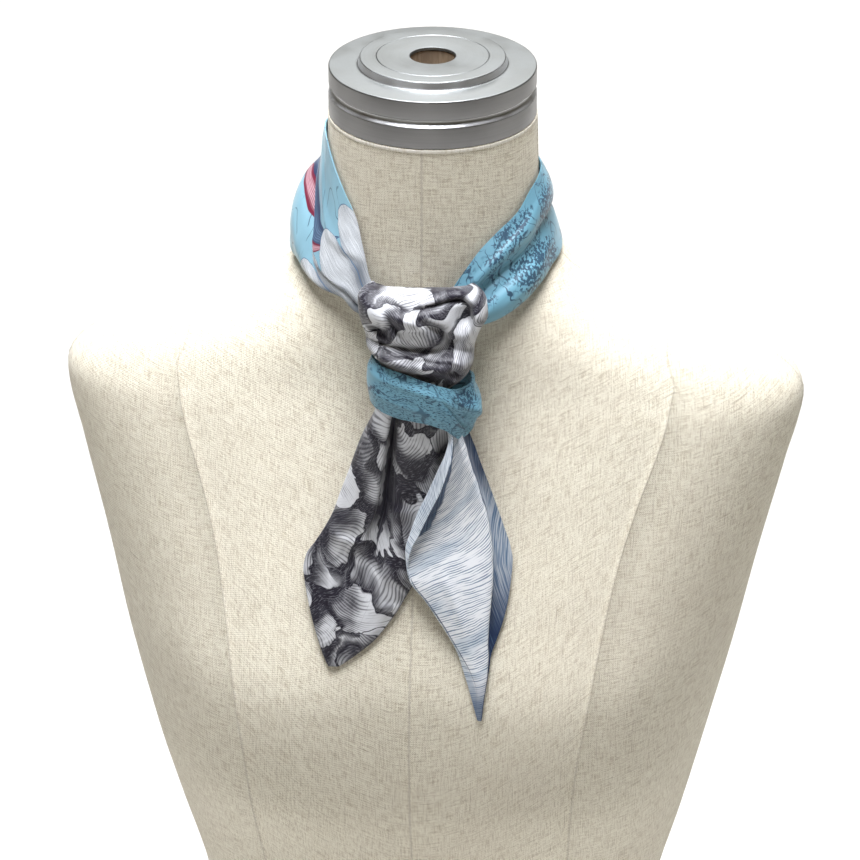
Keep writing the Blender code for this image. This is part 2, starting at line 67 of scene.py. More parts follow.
def soft_light(name, place, aim, size, power, colour=(1.0, 1.0, 1.0)):
    data = bpy.data.lights.new(name, "AREA")
    data.shape = "DISK"
    data.size = size
    data.energy = power
    data.color = colour
    light = bpy.data.objects.new(name, data)
    light.location = place
    light.rotation_euler = (Vector(aim) - Vector(place)).to_track_quat("-Z", "Y").to_euler()
    scene.collection.objects.link(light)


eye_data = bpy.data.cameras.new("eye")
eye_data.lens = LENS
eye_data.sensor_width = SENSOR
eye = bpy.data.objects.new("eye", eye_data)
eye.location = EYE
eye.rotation_euler = look_way(EYE_TURN, EYE_DOWN).to_track_quat("-Z", "Y").to_euler()
scene.collection.objects.link(eye)
scene.camera = eye
scene.view_settings.view_transform = "Standard"

world = bpy.data.worlds.new("studio")
world.use_nodes = True
background = world.node_tree.nodes["Background"].inputs
background["Color"].default_value = (1.0, 0.82, 0.55, 1.0)
background["Strength"].default_value = 0.05
scene.world = world
soft_light("overhead", (-0.05, -0.12, 1.95), (0.0, -0.05, 0.5), 0.95, 50, (0.985, 1.0, 1.06))
soft_light("front_left", (-1.2, -2.2, 1.8), (0.0, 0.0, 0.5), 1.6, 1, (1.0, 0.99, 0.97))
soft_light("over_floor", (0.0, 2.2, 2.6), (0.0, 1.6, 0.0), 3.4, 82)
WASH_NEAR, WASH_FAR, WASH_HIGH = 3.0, 6.0, 2.4
for wash_x, wash_y in ((-1, 0), (1, 0), (0, -1), (0, 1)):
    wash_from = (wash_x * WASH_NEAR, wash_y * WASH_NEAR, WASH_HIGH)
    soft_light("floor_wash", wash_from, (wash_x * WASH_FAR, wash_y * WASH_FAR, 0.0), 3.0, 62)

FLOOR_FLAT, FLOOR_OUT, FLOOR_RISE, FLOOR_STEPS = 4.0, 9.0, 2.2, 12
bm = bmesh.new()
bmesh.ops.create_circle(bm, cap_ends=True, segments=96, radius=FLOOR_FLAT)
rim = bm.edges[:]
for step in range(1, FLOOR_STEPS + 1):
    reach = step / FLOOR_STEPS
    drawn = bmesh.ops.extrude_edge_only(bm, edges=rim)["geom"]
    rim = [item for item in drawn if isinstance(item, bmesh.types.BMEdge)]
    for vert in [item for item in drawn if isinstance(item, bmesh.types.BMVert)]:
        radius = FLOOR_FLAT + (FLOOR_OUT - FLOOR_FLAT) * reach
        vert.co = Vector((*(vert.co.to_2d().normalized() * radius), FLOOR_RISE * reach**2.2))
bmesh.ops.recalc_face_normals(bm, faces=bm.faces)
if sum(face.normal.z for face in bm.faces) < 0:
    bmesh.ops.reverse_faces(bm, faces=bm.faces)
studio_floor = add_object(bm, "studio_floor")
floor_paint = bpy.data.materials.new("pale_floor")
floor_paint.use_nodes = True
floor_shader = floor_paint.node_tree.nodes["Principled BSDF"]
floor_shader.inputs["Base Color"].default_value = (0.79, 0.78, 0.755, 1.0)
floor_shader.inputs["Roughness"].default_value = 0.9
studio_floor.data.materials.append(floor_paint)

# ------------------------ the linen-covered form
# A moulded shell with thin padding, covered in unbleached linen that is cut in eight panels. The
# seams run down the middle, over the bust, and down the sides and back, and are sewn by hand.
MM = 0.001
NECK_TOP, NECK_FOOT, COVER_FOOT = 676.0, 600.0, 10.3
BUST_X, BUST_Z, BUST_RISE, BUST_WIDE, BUST_TALL = 84, 372, 24, 46, 52
SHOULDER_Z = 577.0


def column_slopes(keys, values):
    """A slope at each row that never lets the curve overshoot its neighbours."""
    steps = [(values[i + 1] - values[i]) / (keys[i + 1] - keys[i]) for i in range(len(keys) - 1)]
    slopes = [steps[0]]
    for before, after in zip(steps, steps[1:]):
        same_way = before * after > 0
        slopes.append(2 * before * after / (before + after) if same_way else 0.0)
    return slopes + [steps[-1]]


def number_rows(lines):
    return [[float(word) for word in line.split()] for line in lines.strip().split("\n")]


def smooth_table(table):
    """Reads a table whose first line names its columns. Returns a function that gives every column,
    by name, at any value of the first one."""
    heading, lines = table.strip().split("\n", 1)
    columns, rows = heading.split(), sorted(number_rows(lines))
    keys = [row[0] for row in rows]
    slopes = [column_slopes(keys, [row[k] for row in rows]) for k in range(1, len(columns))]
    known = {}

    def at(key):
        key = min(max(key, keys[0]), keys[-1])
        if key in known:
            return known[key]
        i = max(k for k in range(len(keys) - 1) if keys[k] <= key)
        span = keys[i + 1] - keys[i]
        t = (key - keys[i]) / span
        found = SimpleNamespace()
        for k, name in enumerate(columns[1:], start=1):
            a, b = rows[i][k], rows[i + 1][k]
            slope_a, slope_b = slopes[k - 1][i], slopes[k - 1][i + 1]
            value = (
                (2 * t**3 - 3 * t**2 + 1) * a + (t**3 - 2 * t**2 + t) * span * slope_a
                + (3 * t**2 - 2 * t**3) * b + (t**3 - t**2) * span * slope_b
            )
            setattr(found, name, value)
        known[key] = found
        return found

    return at


form_slice = smooth_table("""
z half_width front back power
0 166 106 112 2.25
60 163 104 110 2.25
120 145 95 95 2.2
165 124 86 81 2.2
200 116 82 76 2.15
240 121 85 79 2.15
300 135 94 87 2.2
350 146 102 93 2.25
400 157 102 98 2.3
450 167 92 99 2.35
500 178 74 94 2.4
535 185 60 84 2.3
550 176 55 79 2.15
565 145 52.5 74 2.05
580 104 51.5 69 2
601 66 51 63 2
618 56 50.5 57 2
635 52 50.2 53 2
676 50.3 50 50.5 2
""")
# Where the seam over the bust and its fellow on the back run, as a turn from the front.
seam_turn = smooth_table("""
z bust_seam back_seam
0 28 152
200 39 143
300 33 147
385 30 149
465 31 149
535 37 143
562 50 132
577 72 108
600 60 120
676 56 124
""")


def bust_rise(x, z):
    return BUST_RISE * sum(
        math.exp(-((x - side * BUST_X) / BUST_WIDE) ** 2 / 2 - ((z - BUST_Z) / BUST_TALL) ** 2 / 2)
        for side in (-1, 1)
    )


def form_point(turn, z, out=0.0):
    """A point off the form's surface by out, at an angle from the front by the wearer's right."""
    cut = form_slice(z)
    angle = math.radians(turn)
    side, ahead = math.sin(angle), math.cos(angle)
    depth = cut.front if ahead > 0 else cut.back
    x = -(cut.half_width + out) * math.copysign(abs(side) ** (2 / cut.power), side)
    y = -(depth + out) * math.copysign(abs(ahead) ** (2 / cut.power), ahead)
    if ahead > 0:
        y -= bust_rise(x, z) * abs(ahead) ** (1 / cut.power)
    return Vector((x, y, z))


def form_front_y(x, z):
    """How far forward the form's front is at x and z."""
    cut = form_slice(z)
    left = max(0.0, 1 - abs(x / cut.half_width) ** cut.power)
    return -cut.front * left ** (1 / cut.power) - bust_rise(x, z) * math.sqrt(left)


def panel_turn(column, columns, z):
    """The turn of a column of the cover. The seams fall on eight of the columns."""
    seams = seam_turn(z)
    marks = [0, seams.bust_seam, 90, seams.back_seam, 180]
    marks += [360 - mark for mark in reversed(marks[:-1])]
    place = column / columns * 8
    i = min(int(place), 7)
    return marks[i] + (marks[i + 1] - marks[i]) * (place - i)


class Wire:
    """A value in a shader's wiring. Arithmetic with it adds the nodes that work the result out."""

    def __init__(self, socket):
        self.socket = socket
        self.tree = socket.id_data

    def __add__(self, other):
        return calc("ADD", self, other)

    def __sub__(self, other):
        return calc("SUBTRACT", self, other)

    def __rsub__(self, other):
        return calc("SUBTRACT", other, self)

    def __mul__(self, other):
        return calc("MULTIPLY", self, other)

    def __truediv__(self, other):
        return calc("DIVIDE", self, other)

    def __rtruediv__(self, other):
        return calc("DIVIDE", other, self)

    def __abs__(self):
        return calc("ABSOLUTE", self)

    __radd__, __rmul__ = __add__, __mul__


def wires(node):
    """A node's outputs, by place and by name."""
    by_place = {place: Wire(socket) for place, socket in enumerate(node.outputs)}
    return by_place | {socket.name: Wire(socket) for socket in node.outputs}


def plug(socket, value):
    """Leads a wire into a socket, or sets the socket to a number, a point or a colour."""
    if isinstance(value, Wire):
        value.tree.links.new(value.socket, socket)
    else:
        socket.default_value = (*value, 1.0) if socket.type == "RGBA" else value


def add_node(kind, inputs, tree=None, **settings):
    """Adds a node to the tree, or to the one that its inputs come from, and returns its outputs."""
    tree = tree or next(value.tree for value in inputs.values() if isinstance(value, Wire))
    node = tree.nodes.new("ShaderNode" + kind)
    for key, value in settings.items():
        setattr(node, key, value)
    for key, value in inputs.items():
        plug(node.inputs[key], value)
    return wires(node)


def calc(operation, a, b=0.0):
    return add_node("Math", {0: a, 1: b}, operation=operation)[0]


def highest(a, b):
    return calc("MAXIMUM", a, b)


def axes_of(vector):
    return add_node("SeparateXYZ", {0: vector})


def point(x, y, z=0.0):
    return add_node("CombineXYZ", {0: x, 1: y, 2: z})[0]


def ramp(value, low, high, to_low=0.0, to_high=1.0):
    """value from low to high, mapped smoothly and held at the ends."""
    reach = {"Value": value, "From Min": low, "From Max": high, "To Min": to_low, "To Max": to_high}
    return add_node("MapRange", reach, interpolation_type="SMOOTHSTEP")[0]


def fade(value, low, high):
    return ramp(value, low, high, 1.0, 0.0)


def blend(share, a, b):
    """The colour a, with a share of the colour b."""
    return add_node("Mix", {0: share, 6: a, 7: b}, data_type="RGBA")[2]


def grain(vector, scale, detail=2.0, dimensions="2D", rough=0.5, output="Fac"):
    """Cloudy noise, with about scale clouds to the metre."""
    noise_inputs = {"Vector": vector, "Scale": scale, "Detail": detail, "Roughness": rough}
    return add_node("TexNoise", noise_inputs, noise_dimensions=dimensions)[output]


def stretched_noise(vector, scale, detail=2.0, rough=0.5):
    """Noise whose grain is scaled unevenly, so that it makes threads or streaks."""
    moved = add_node("Mapping", {"Vector": vector, "Scale": scale})[0]
    return grain(moved, 1.0, detail, "2D", rough)


def new_group(name, **inputs):
    """Starts a node group, with inputs of the kinds given, and returns its wires."""
    tree = bpy.data.node_groups.new(name, "ShaderNodeTree")
    for socket, kind in inputs.items():
        tree.interface.new_socket(socket, in_out="INPUT", socket_type="NodeSocket" + kind)
    return wires(tree.nodes.new("NodeGroupInput"))


def end_group(**results):
    """Ends the group that the results are in, gives it an output for each, and returns it."""
    tree = next(iter(results.values())).tree
    for name, value in results.items():
        kind = "NodeSocketColor" if value.socket.type == "RGBA" else "NodeSocketFloat"
        tree.interface.new_socket(name, in_out="OUTPUT", socket_type=kind)
    end = tree.nodes.new("NodeGroupOutput")
    for name, value in results.items():
        plug(end.inputs[name], value)
    return tree


def use_group(group, **inputs):
    tree = next(value.tree for value in inputs.values() if isinstance(value, Wire))
    return add_node("Group", inputs, tree, node_tree=group)


def map_place(node, layer):
    """Where a point is in one of its piece's maps, for use in the wiring that the node is in."""
    return add_node("UVMap", {}, node.id_data, uv_map=layer)[0]


WEAVE_PITCH, STITCH_PITCH = 0.0012, 0.0027


def build_linen_weave():
    """Linen's threads, with the thick slubs that run a few centimetres along one thread. Over is the
    plain weave itself, high where the warp lies on top and low where it dips."""
    given = new_group("linen_weave", Cut="Vector")
    cut = given["Cut"]
    across = stretched_noise(cut, (120, 1600, 1), 3.0, 0.7)
    down = stretched_noise(cut, (1600, 120, 1), 3.0, 0.7)
    thread = across + down
    slub_across = ramp(stretched_noise(cut, (55, 1300, 1), 1.0), 0.68, 0.8)
    slub_down = ramp(stretched_noise(cut, (1300, 55, 1), 1.0), 0.7, 0.82)
    slub = highest(slub_across, slub_down)
    shake = grain(cut, 420.0)
    axes = axes_of(cut)
    turns = math.tau / WEAVE_PITCH
    warp = calc("SINE", axes["X"] * turns + shake * 11.0)
    weft = calc("SINE", axes["Y"] * turns + shake * -11.0)
    over = warp * weft * 0.5 + 0.5
    return end_group(Thread=thread, Slub=slub, Over=over, Height=slub * 0.5 + (over * 0.3 + thread))


def new_material(name, inputs):
    """A material, and its shader with the given inputs set."""
    material = bpy.data.materials.new(name)
    material.use_nodes = True
    shader = material.node_tree.nodes["Principled BSDF"]
    for key, value in inputs.items():
        plug(shader.inputs[key], value)
    return material, shader


def object_place(shader):
    return add_node("TexCoord", {}, shader.id_data)["Object"]


def bump(shader, height, strength, distance):
    inputs = {"Height": height, "Strength": strength, "Distance": distance}
    plug(shader.inputs["Normal"], add_node("Bump", inputs)["Normal"])


linen_weave = build_linen_weave()


def linen_material():
    material, shader = new_material("unbleached_linen", {"Roughness": 0.9, "Sheen Weight": 0.15})
    cut = map_place(shader, "cut")
    weave = use_group(linen_weave, Cut=cut)
    light, dark, fleck = (0.91, 0.865, 0.715), (0.6, 0.525, 0.38), (0.38, 0.3, 0.19)
    colour = blend(ramp(weave["Thread"], 0.62, 1.14), dark, light)
    # Painted shade: warm brown where the warp dips under the weft, less on thick threads, as shade in
    # the weave's low spots.
    painted_weave_shade = fade(weave["Over"], 0.05, 0.55) * ramp(weave["Thread"], 0.7, 1.3, 0.75, 0.3)
    colour = blend(painted_weave_shade, colour, (0.34, 0.265, 0.165))
    colour = blend(weave["Slub"] * 0.45, colour, fleck)
    cloud = stretched_noise(cut, (9, 9, 1), 3.0)
    colour = blend(ramp(cloud, 0.35, 0.75, 0.0, 0.14), colour, (0.62, 0.53, 0.42))
    seam = axes_of(map_place(shader, "seam"))
    off = abs(seam["X"])
    line = ramp(off, 0.0002, 0.0006, 0.3, 0.0)
    beat = calc("FRACT", seam["Y"] * (1 / STITCH_PITCH))
    dash = ramp(beat, 0.45, 0.6) * ramp(off, 0.0006, 0.001, 0.3, 0.0)
    colour = blend(highest(line, dash), colour, (0.3, 0.24, 0.17))
    plug(shader.inputs["Base Color"], colour)
    bump(shader, weave["Height"], 0.6, 0.0003)
    return material


# Half the width of a seam's groove, its depth, and a distance from it where no stitch shows.
SEAM_HALF, SEAM_DEEP, UNSEWN = 0.0008, 0.0004, 0.05


def build_cover():
    """The cover's panels, one skin, with a groove pressed along each seam."""
    columns, rows = 96, 120
    panel, stride = columns // 8, columns + 1
    bm = bmesh.new()
    bmesh.ops.create_grid(bm, x_segments=columns, y_segments=rows, size=0.5)
    cut_layer = bm.loops.layers.uv.new("cut")
    seam_layer = bm.loops.layers.uv.new("seam")
    spots = {}
    for vert in bm.verts:
        column, row = round((vert.co.x + 0.5) * columns), round((vert.co.y + 0.5) * rows)
        z = COVER_FOOT + (NECK_TOP - COVER_FOOT) * row / rows
        spots[column, row] = form_point(panel_turn(column, columns, z), z) * MM
        vert.co = spots[column, row]
        vert.index = row * stride + column
    around, up = {}, {}
    for row in range(rows + 1):
        around[0, row] = 0.0
        for column in range(1, stride):
            step = (spots[column, row] - spots[column - 1, row]).length
            around[column, row] = around[column - 1, row] + step
    neck_row = round((NECK_FOOT - COVER_FOOT) / (NECK_TOP - COVER_FOOT) * rows)
    for column in range(stride):
        up[column, neck_row] = NECK_FOOT * MM
        for row in range(neck_row + 1, rows + 1):
            up[column, row] = up[column, row - 1] + (spots[column, row] - spots[column, row - 1]).length
        for row in range(neck_row - 1, -1, -1):
            up[column, row] = up[column, row + 1] - (spots[column, row] - spots[column, row + 1]).length
    for face in bm.faces:
        middle = sum(loop.vert.index % stride for loop in face.loops) / 4
        seam = round(middle / panel)
        unsewn = seam % 2 == 1 and face.calc_center_median().z > SHOULDER_Z * MM
        for loop in face.loops:
            row, column = divmod(loop.vert.index, stride)
            seat = (column, row)
            girth = around[columns // 2, row] * 2
            across = around[seat] if middle < columns / 2 else around[seat] - girth
            loop[cut_layer].uv = (across, up[seat])
            away = UNSEWN if unsewn else around[seat] - around[panel * seam, row]
            loop[seam_layer].uv = (away, up[seat])
    seams = []
    for edge in bm.edges:
        foot, top = edge.verts
        column = foot.index % stride
        upright = column == top.index % stride and column % panel == 0 and 0 < column < columns
        if upright and (column // panel % 2 == 0 or foot.co.z < SHOULDER_Z * MM):
            seams.append(edge)
    bmesh.ops.remove_doubles(bm, verts=bm.verts, dist=0.00001)
    seams = [edge for edge in seams if edge.is_valid]
    pressed = bmesh.ops.bevel(
        bm, geom=seams, offset=SEAM_HALF, segments=2, profile=0.5, affect="EDGES", material=-1
    )
    bm.normal_update()
    middles = [
        vert for vert in pressed["verts"]
        if len([edge for edge in vert.link_edges if edge.calc_length() < 1.5 * SEAM_HALF]) == 2
    ]
    for vert in middles:
        vert.co -= vert.normal * SEAM_DEEP
    middle_z = (COVER_FOOT + NECK_TOP) / 2 * MM
    for upper in (False, True):
        rims = [edge for edge in bm.edges if edge.is_boundary]
        rim = [edge for edge in rims if (edge.verts[0].co.z > middle_z) == upper]
        bmesh.ops.contextual_create(bm, geom=rim)
    bmesh.ops.recalc_face_normals(bm, faces=bm.faces)
    return add_object(bm, "linen_cover", 50)


linen_cover = build_cover()
linen_cover.data.materials.append(linen_material())
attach(linen_cover, "root")
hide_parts("form_torso")

# ------------------------ the board under the form
# A plain board of brown wood, cut to the form's outline, closes the shell and stands on the floor.


def wood_material(name, light, dark, grain_scale):
    material, shader = new_material(name, {})
    place = add_node("Mapping", {"Vector": object_place(shader), "Scale": grain_scale})[0]
    figure = {"Vector": place, "Scale": 1.0, "Detail": 5.0, "Roughness": 0.65, "Distortion": 0.6}
    rings = add_node("TexNoise", figure)["Fac"]
    plug(shader.inputs["Base Color"], blend(ramp(rings, 0.35, 0.68), dark, light))
    plug(shader.inputs["Roughness"], ramp(rings, 0.3, 0.7, 0.72, 0.5))
    bump(shader, rings, 0.3, 0.0004)
    return material


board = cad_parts["base_board"]
board_wood = wood_material("board_wood", (0.3, 0.2, 0.12), (0.15, 0.09, 0.05), (12, 160, 160))
board.data.materials.clear()
board.data.materials.append(board_wood)

# ------------------------ the neck cap and its block
# A cap turned from metal and brushed: a raised middle with a hole, a groove round its side. Top, side
# and groove take copies of one metal whose tints are painted reflection: the top and side are tinted to
# the brightness each face reflects, and the groove and the boss's outer wall are painted bright as a
# highlight. It fits over a block of brown wood, whose wall shows in the hole.
CAP_RADIUS, CAP_FACE, CAP_FOOT = 50.0, 700.0, 676.3
HOLE, BOSS, BOSS_RISE = 11.0, 35.0, 4.0
GROOVE_TOP, GROOVE_FOOT, GROOVE_RADIUS = 691.2, 686.6, 48.1


def rounded_profile(corners):
    """A closed profile whose corners, given as (radius, z, rounding), become arcs."""
    points, steps = [], 4
    for i, (x, z, rounding) in enumerate(corners):
        here = Vector((x, z))
        before = Vector(corners[i - 1][:2]) - here
        after = Vector(corners[(i + 1) % len(corners)][:2]) - here
        if rounding <= 0:
            points.append((x, z))
            continue
        start = here + before.normalized() * min(rounding, before.length * 0.49)
        end = here + after.normalized() * min(rounding, after.length * 0.49)
        for k in range(steps + 1):
            t = k / steps
            point = start * (1 - t) ** 2 + here * 2 * t * (1 - t) + end * t**2
            points.append((point.x, point.y))
    return points


def turned_piece(name, corners, steps, material):
    """Turns a closed profile of (radius, z, rounding), in millimetres, about the neck's axis."""
    bm = bmesh.new()
    verts = [bm.verts.new((radius * MM, 0.0, z * MM)) for radius, z in rounded_profile(corners)]
    edges = [bm.edges.new((a, b)) for a, b in zip(verts, verts[1:] + verts[:1])]
    bmesh.ops.spin(
        bm, geom=verts + edges, cent=(0, 0, 0), axis=(0, 0, 1), angle=math.tau, steps=steps,
        use_merge=True,
    )
    bmesh.ops.recalc_face_normals(bm, faces=bm.faces)
    piece = add_object(bm, name, 32)
    piece.data.materials.append(material)
    return piece


RING_TONE, CLOUD_TONE = 0.9, 0.1


def metal_material(name, tint, roughness):
    """Metal with the fine rings that a turning tool leaves."""
    material, shader = new_material(name, {"Metallic": 1.0})
    place = object_place(shader)
    axes = axes_of(place)
    radius = calc("SQRT", axes["X"] * axes["X"] + axes["Y"] * axes["Y"])
    ring = grain(point(radius, axes["Z"]), 2600.0, 3.0, "2D", 0.7)
    cloud = grain(place, 60.0, 4.0, "3D")
    tone = ring * RING_TONE + cloud * CLOUD_TONE
    colour = blend(ramp(tone, 0.0, RING_TONE + CLOUD_TONE), [t * 0.86 for t in tint], tint)
    plug(shader.inputs["Base Color"], colour)
    plug(shader.inputs["Roughness"], ramp(cloud, 0.3, 0.7, roughness * 0.85, roughness * 1.25))
    bump(shader, ring, 0.12, 0.00006)
    return material


CAP_THICK = 1.6
CAP_TOP = CAP_FACE + BOSS_RISE
cap_wall = GROOVE_RADIUS - CAP_THICK
SCRIBE_RADIUS, SCRIBE_HALF = 27.0, 0.35
CAP_CORNERS = (
    (HOLE, CAP_TOP, 0.5),
    (SCRIBE_RADIUS - SCRIBE_HALF, CAP_TOP, 0),
    (SCRIBE_RADIUS, CAP_TOP - 0.25, 0),
    (SCRIBE_RADIUS + SCRIBE_HALF, CAP_TOP, 0),
    (BOSS, CAP_TOP, 0.8),
    (BOSS + 1.0, CAP_FACE, 1.1),
    (CAP_RADIUS, CAP_FACE, 0.9),
    (CAP_RADIUS, GROOVE_TOP, 0.4),
    (GROOVE_RADIUS, GROOVE_TOP - 0.5, 0.4),
    (GROOVE_RADIUS, GROOVE_FOOT + 2.0, 1.7),
    (CAP_RADIUS + 0.1, GROOVE_FOOT, 0.5),
    (CAP_RADIUS + 0.2, CAP_FOOT, 0.4),
    (cap_wall, CAP_FOOT, 0),
    (cap_wall, CAP_FACE - CAP_THICK, 0),
    (BOSS - CAP_THICK, CAP_FACE - CAP_THICK, 0),
    (BOSS - CAP_THICK, CAP_TOP - CAP_THICK, 0),
    (HOLE, CAP_TOP - CAP_THICK, 0),
)
# Three copies of one metal, tinted as painted reflection: the top, the side, and a bright copy that is a
# painted highlight.
cap = turned_piece(
    "turned_cap", CAP_CORNERS, 160, metal_material("cap_top_metal_painted_reflection", (0.248, 0.259, 0.255), 0.46)
)
cap.data.materials.append(metal_material("cap_side_metal_painted_reflection", (0.3, 0.297, 0.293), 0.34))
cap.data.materials.append(metal_material("cap_bright_metal_painted_highlight", (0.88, 0.89, 0.9), 0.4))
SIDE_PAINTED_REFLECTION, BRIGHT_PAINTED_HIGHLIGHT = 1, 2
# The groove and the boss's outer wall take the bright copy, a painted highlight; the rest of the cap's
# side takes the side copy, tinted as a painted reflection.
for face in cap.data.polygons:
    radius, z = face.center.to_2d().length / MM, face.center.z / MM
    if radius > GROOVE_RADIUS - 0.5 and GROOVE_FOOT < z < GROOVE_FOOT + 3.2:
        face.material_index = BRIGHT_PAINTED_HIGHLIGHT
    elif radius > GROOVE_RADIUS - 0.5 and abs(face.normal.z) < 0.7:
        face.material_index = SIDE_PAINTED_REFLECTION
    elif BOSS - 0.5 < radius < BOSS + 1.2 and face.normal.z < 0.6 and z > CAP_FACE:
        face.material_index = BRIGHT_PAINTED_HIGHLIGHT
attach(cap, "root")
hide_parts("neck_cap")

BLOCK_HOLE, BLOCK_DOWN, BLOCK_SIDE = HOLE + 0.4, 2.0, cap_wall - 0.3
BLOCK_CORNERS = (
    (BLOCK_HOLE, CAP_TOP - BLOCK_DOWN, 0.3),
    (BOSS - BLOCK_DOWN, CAP_TOP - BLOCK_DOWN, 0),
    (BOSS - BLOCK_DOWN, CAP_FACE - BLOCK_DOWN, 0),
    (BLOCK_SIDE, CAP_FACE - BLOCK_DOWN, 0),
    (BLOCK_SIDE, CAP_FOOT, 0),
    (BLOCK_HOLE, CAP_FOOT, 0),
)
block_wood = wood_material("block_wood", (0.34, 0.26, 0.18), (0.22, 0.16, 0.11), (220, 220, 40))
block = turned_piece("wooden_block", BLOCK_CORNERS, 96, block_wood)
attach(block, "root")
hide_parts("neck_block")

# ------------------------ the linen's folded edge
# At the top of the neck the linen is turned in on itself, just under the cap, as a thin round edge.
EDGE_TOP, EDGE_TALL, EDGE_PROUD = 675.95, 1.3, 0.55
EDGE_CORNERS = (
    (CAP_RADIUS + 0.2, EDGE_TOP, 0.3),
    (CAP_RADIUS + EDGE_PROUD, EDGE_TOP, 0.3),
    (CAP_RADIUS + EDGE_PROUD, EDGE_TOP - EDGE_TALL, 0.4),
    (CAP_RADIUS + 0.2, EDGE_TOP - EDGE_TALL - 0.6, 0.2),
)
edge_linen, edge_shader = new_material("edge_linen", {"Roughness": 0.9})
edge_weave = use_group(linen_weave, Cut=object_place(edge_shader))
edge_colour = blend(ramp(edge_weave["Thread"], 0.6, 1.1), (0.7, 0.63, 0.5), (0.88, 0.84, 0.74))
plug(edge_shader.inputs["Base Color"], edge_colour)
bump(edge_shader, edge_weave["Height"], 0.6, 0.0003)
linen_edge = turned_piece("linen_edge", EDGE_CORNERS, 128, edge_linen)
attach(linen_edge, "root")

# ------------------------ the scarf's silk
# One strip of silk twill, printed, cut about 100 mm wide with both ends to a point, made double
# and pressed flat. The weave's fine diagonal rib and soft sheen are the same all along it.
SILK_THICK = 0.7
RIB_PITCH = 0.0007


def along_spline(points, t):
    """The point at t, from 0 to 1, on a Catmull-Rom curve through the given points."""
    reach = len(points) - 1
    i = min(int(t * reach), reach - 1)
    f = t * reach - i
    p0, p1 = points[max(i - 1, 0)], points[i]
    p2, p3 = points[i + 1], points[min(i + 2, reach)]
    return tuple(
        0.5 * (2 * b + (c - a) * f + (2 * a - 5 * b + 4 * c - d) * f**2 + (3 * b - a - 3 * c + d) * f**3)
        for a, b, c, d in zip(p0, p1, p2, p3)
    )


def fold_height(folds, x, y):
    """How far the folds lift the cloth at x and y. A fold is a soft ridge along a bowed line, which
    leans to one side or the other, so that one of its flanks is steep."""
    height = 0.0
    for x0, y0, x1, y1, bow, width, lean, rise in folds:
        run_x, run_y = x1 - x0, y1 - y0
        length = math.hypot(run_x, run_y)
        along = ((x - x0) * run_x + (y - y0) * run_y) / length**2
        if not -0.2 < along < 1.2:
            continue
        off = ((y - y0) * run_x - (x - x0) * run_y) / length - bow * 4 * along * (1 - along)
        flank = width * (1 + lean if off > 0 else 1 - lean)
        if abs(off) < 3 * flank:
            fading = math.sin(math.pi * (along + 0.2) / 1.4) ** 1.5
            height += rise * fading * math.exp(-((off / flank) ** 2))
    return height


def lay_silk(name, across, along, place, material, start, folds, ripple, seed):
    """Lays a stretch of silk: a flat grid, moved by place(u, v), in millimetres. Its cut map holds
    the distances across and along the cloth, in metres, so that a print isn't stretched; its share
    map holds u and v. The folds are in millimetres across from the middle line and along. start is
    how far along the scarf it begins, in metres, and ripple is the height of its small waves."""
    bm = bmesh.new()
    bmesh.ops.create_grid(bm, x_segments=across, y_segments=along, size=0.5)
    layer = bm.loops.layers.uv.new("cut")
    share_layer = bm.loops.layers.uv.new("share")
    seats, spots = {}, {}
    for vert in bm.verts:
        seat = (round((vert.co.x + 0.5) * across), round((vert.co.y + 0.5) * along))
        seats[vert] = seat
        vert.co = Vector(place(seat[0] / across, seat[1] / along)) * MM
        spots[seat] = vert.co.copy()
    middle = across // 2
    wide, far = {}, {0: start}
    for j in range(along + 1):
        run = 0.0
        for i in range(across + 1):
            run += (spots[i, j] - spots[i - 1, j]).length if i else 0.0
            wide[i, j] = run
        if j:
            far[j] = far[j - 1] + (spots[middle, j] - spots[middle, j - 1]).length
    for face in bm.faces:
        for loop in face.loops:
            i, j = seats[loop.vert]
            loop[layer].uv = (wide[i, j] - wide[middle, j], far[j])
            loop[share_layer].uv = (i / across, j / along)
    bm.normal_update()
    facing = sum(vert.normal.x * vert.co.x + vert.normal.y * vert.co.y for vert in bm.verts)
    outward = math.copysign(MM, facing)
    for vert, (i, j) in seats.items():
        x, y = (wide[i, j] - wide[middle, j]) / MM, (far[j] - start) / MM
        calm = min(1.0, 8 * min(i / across, 1 - i / across, j / along, 1 - j / along) + 0.15)
        soft = noise.noise(Vector((x / 11, y / 45, seed)))
        soft += 0.4 * noise.noise(Vector((x / 5, y / 22, seed + 9)))
        vert.co += vert.normal * outward * calm * (ripple * soft + fold_height(folds, x, y))
    if facing < 0:
        bmesh.ops.reverse_faces(bm, faces=bm.faces)
    silk = add_object(bm, name)
    silk.data.materials.append(material)
    wall = silk.modifiers.new("two_layers", "SOLIDIFY")
    wall.thickness = SILK_THICK * MM
    wall.offset = 0.0
    edge = silk.modifiers.new("pressed_edge", "BEVEL")
    edge.width = 0.22 * MM
    edge.segments = 2
    edge.limit_method = "ANGLE"
    edge.angle_limit = math.radians(60)
    return silk


def silk_material(name, paint):
    """Silk twill. paint(cut) returns the print's colour at a place on the cut."""
    sheen = {"Specular IOR Level": 0.32, "Sheen Weight": 0.2, "Sheen Roughness": 0.4}
    material, shader = new_material(name, {"Roughness": 0.44} | sheen)
    cut = map_place(shader, "cut")
    plug(shader.inputs["Base Color"], paint(cut))
    axes = axes_of(cut)
    rib = calc("SINE", (axes["X"] + axes["Y"]) * (math.tau / RIB_PITCH))
    bump(shader, rib, 0.05, 0.00006)
    return material


# ------------------------ the prints
# A drawn flower of many ruffled petals, in engraver's lines, and the same drawing of long round
# petals in blue; between them plain teal with fine dark sprigs.


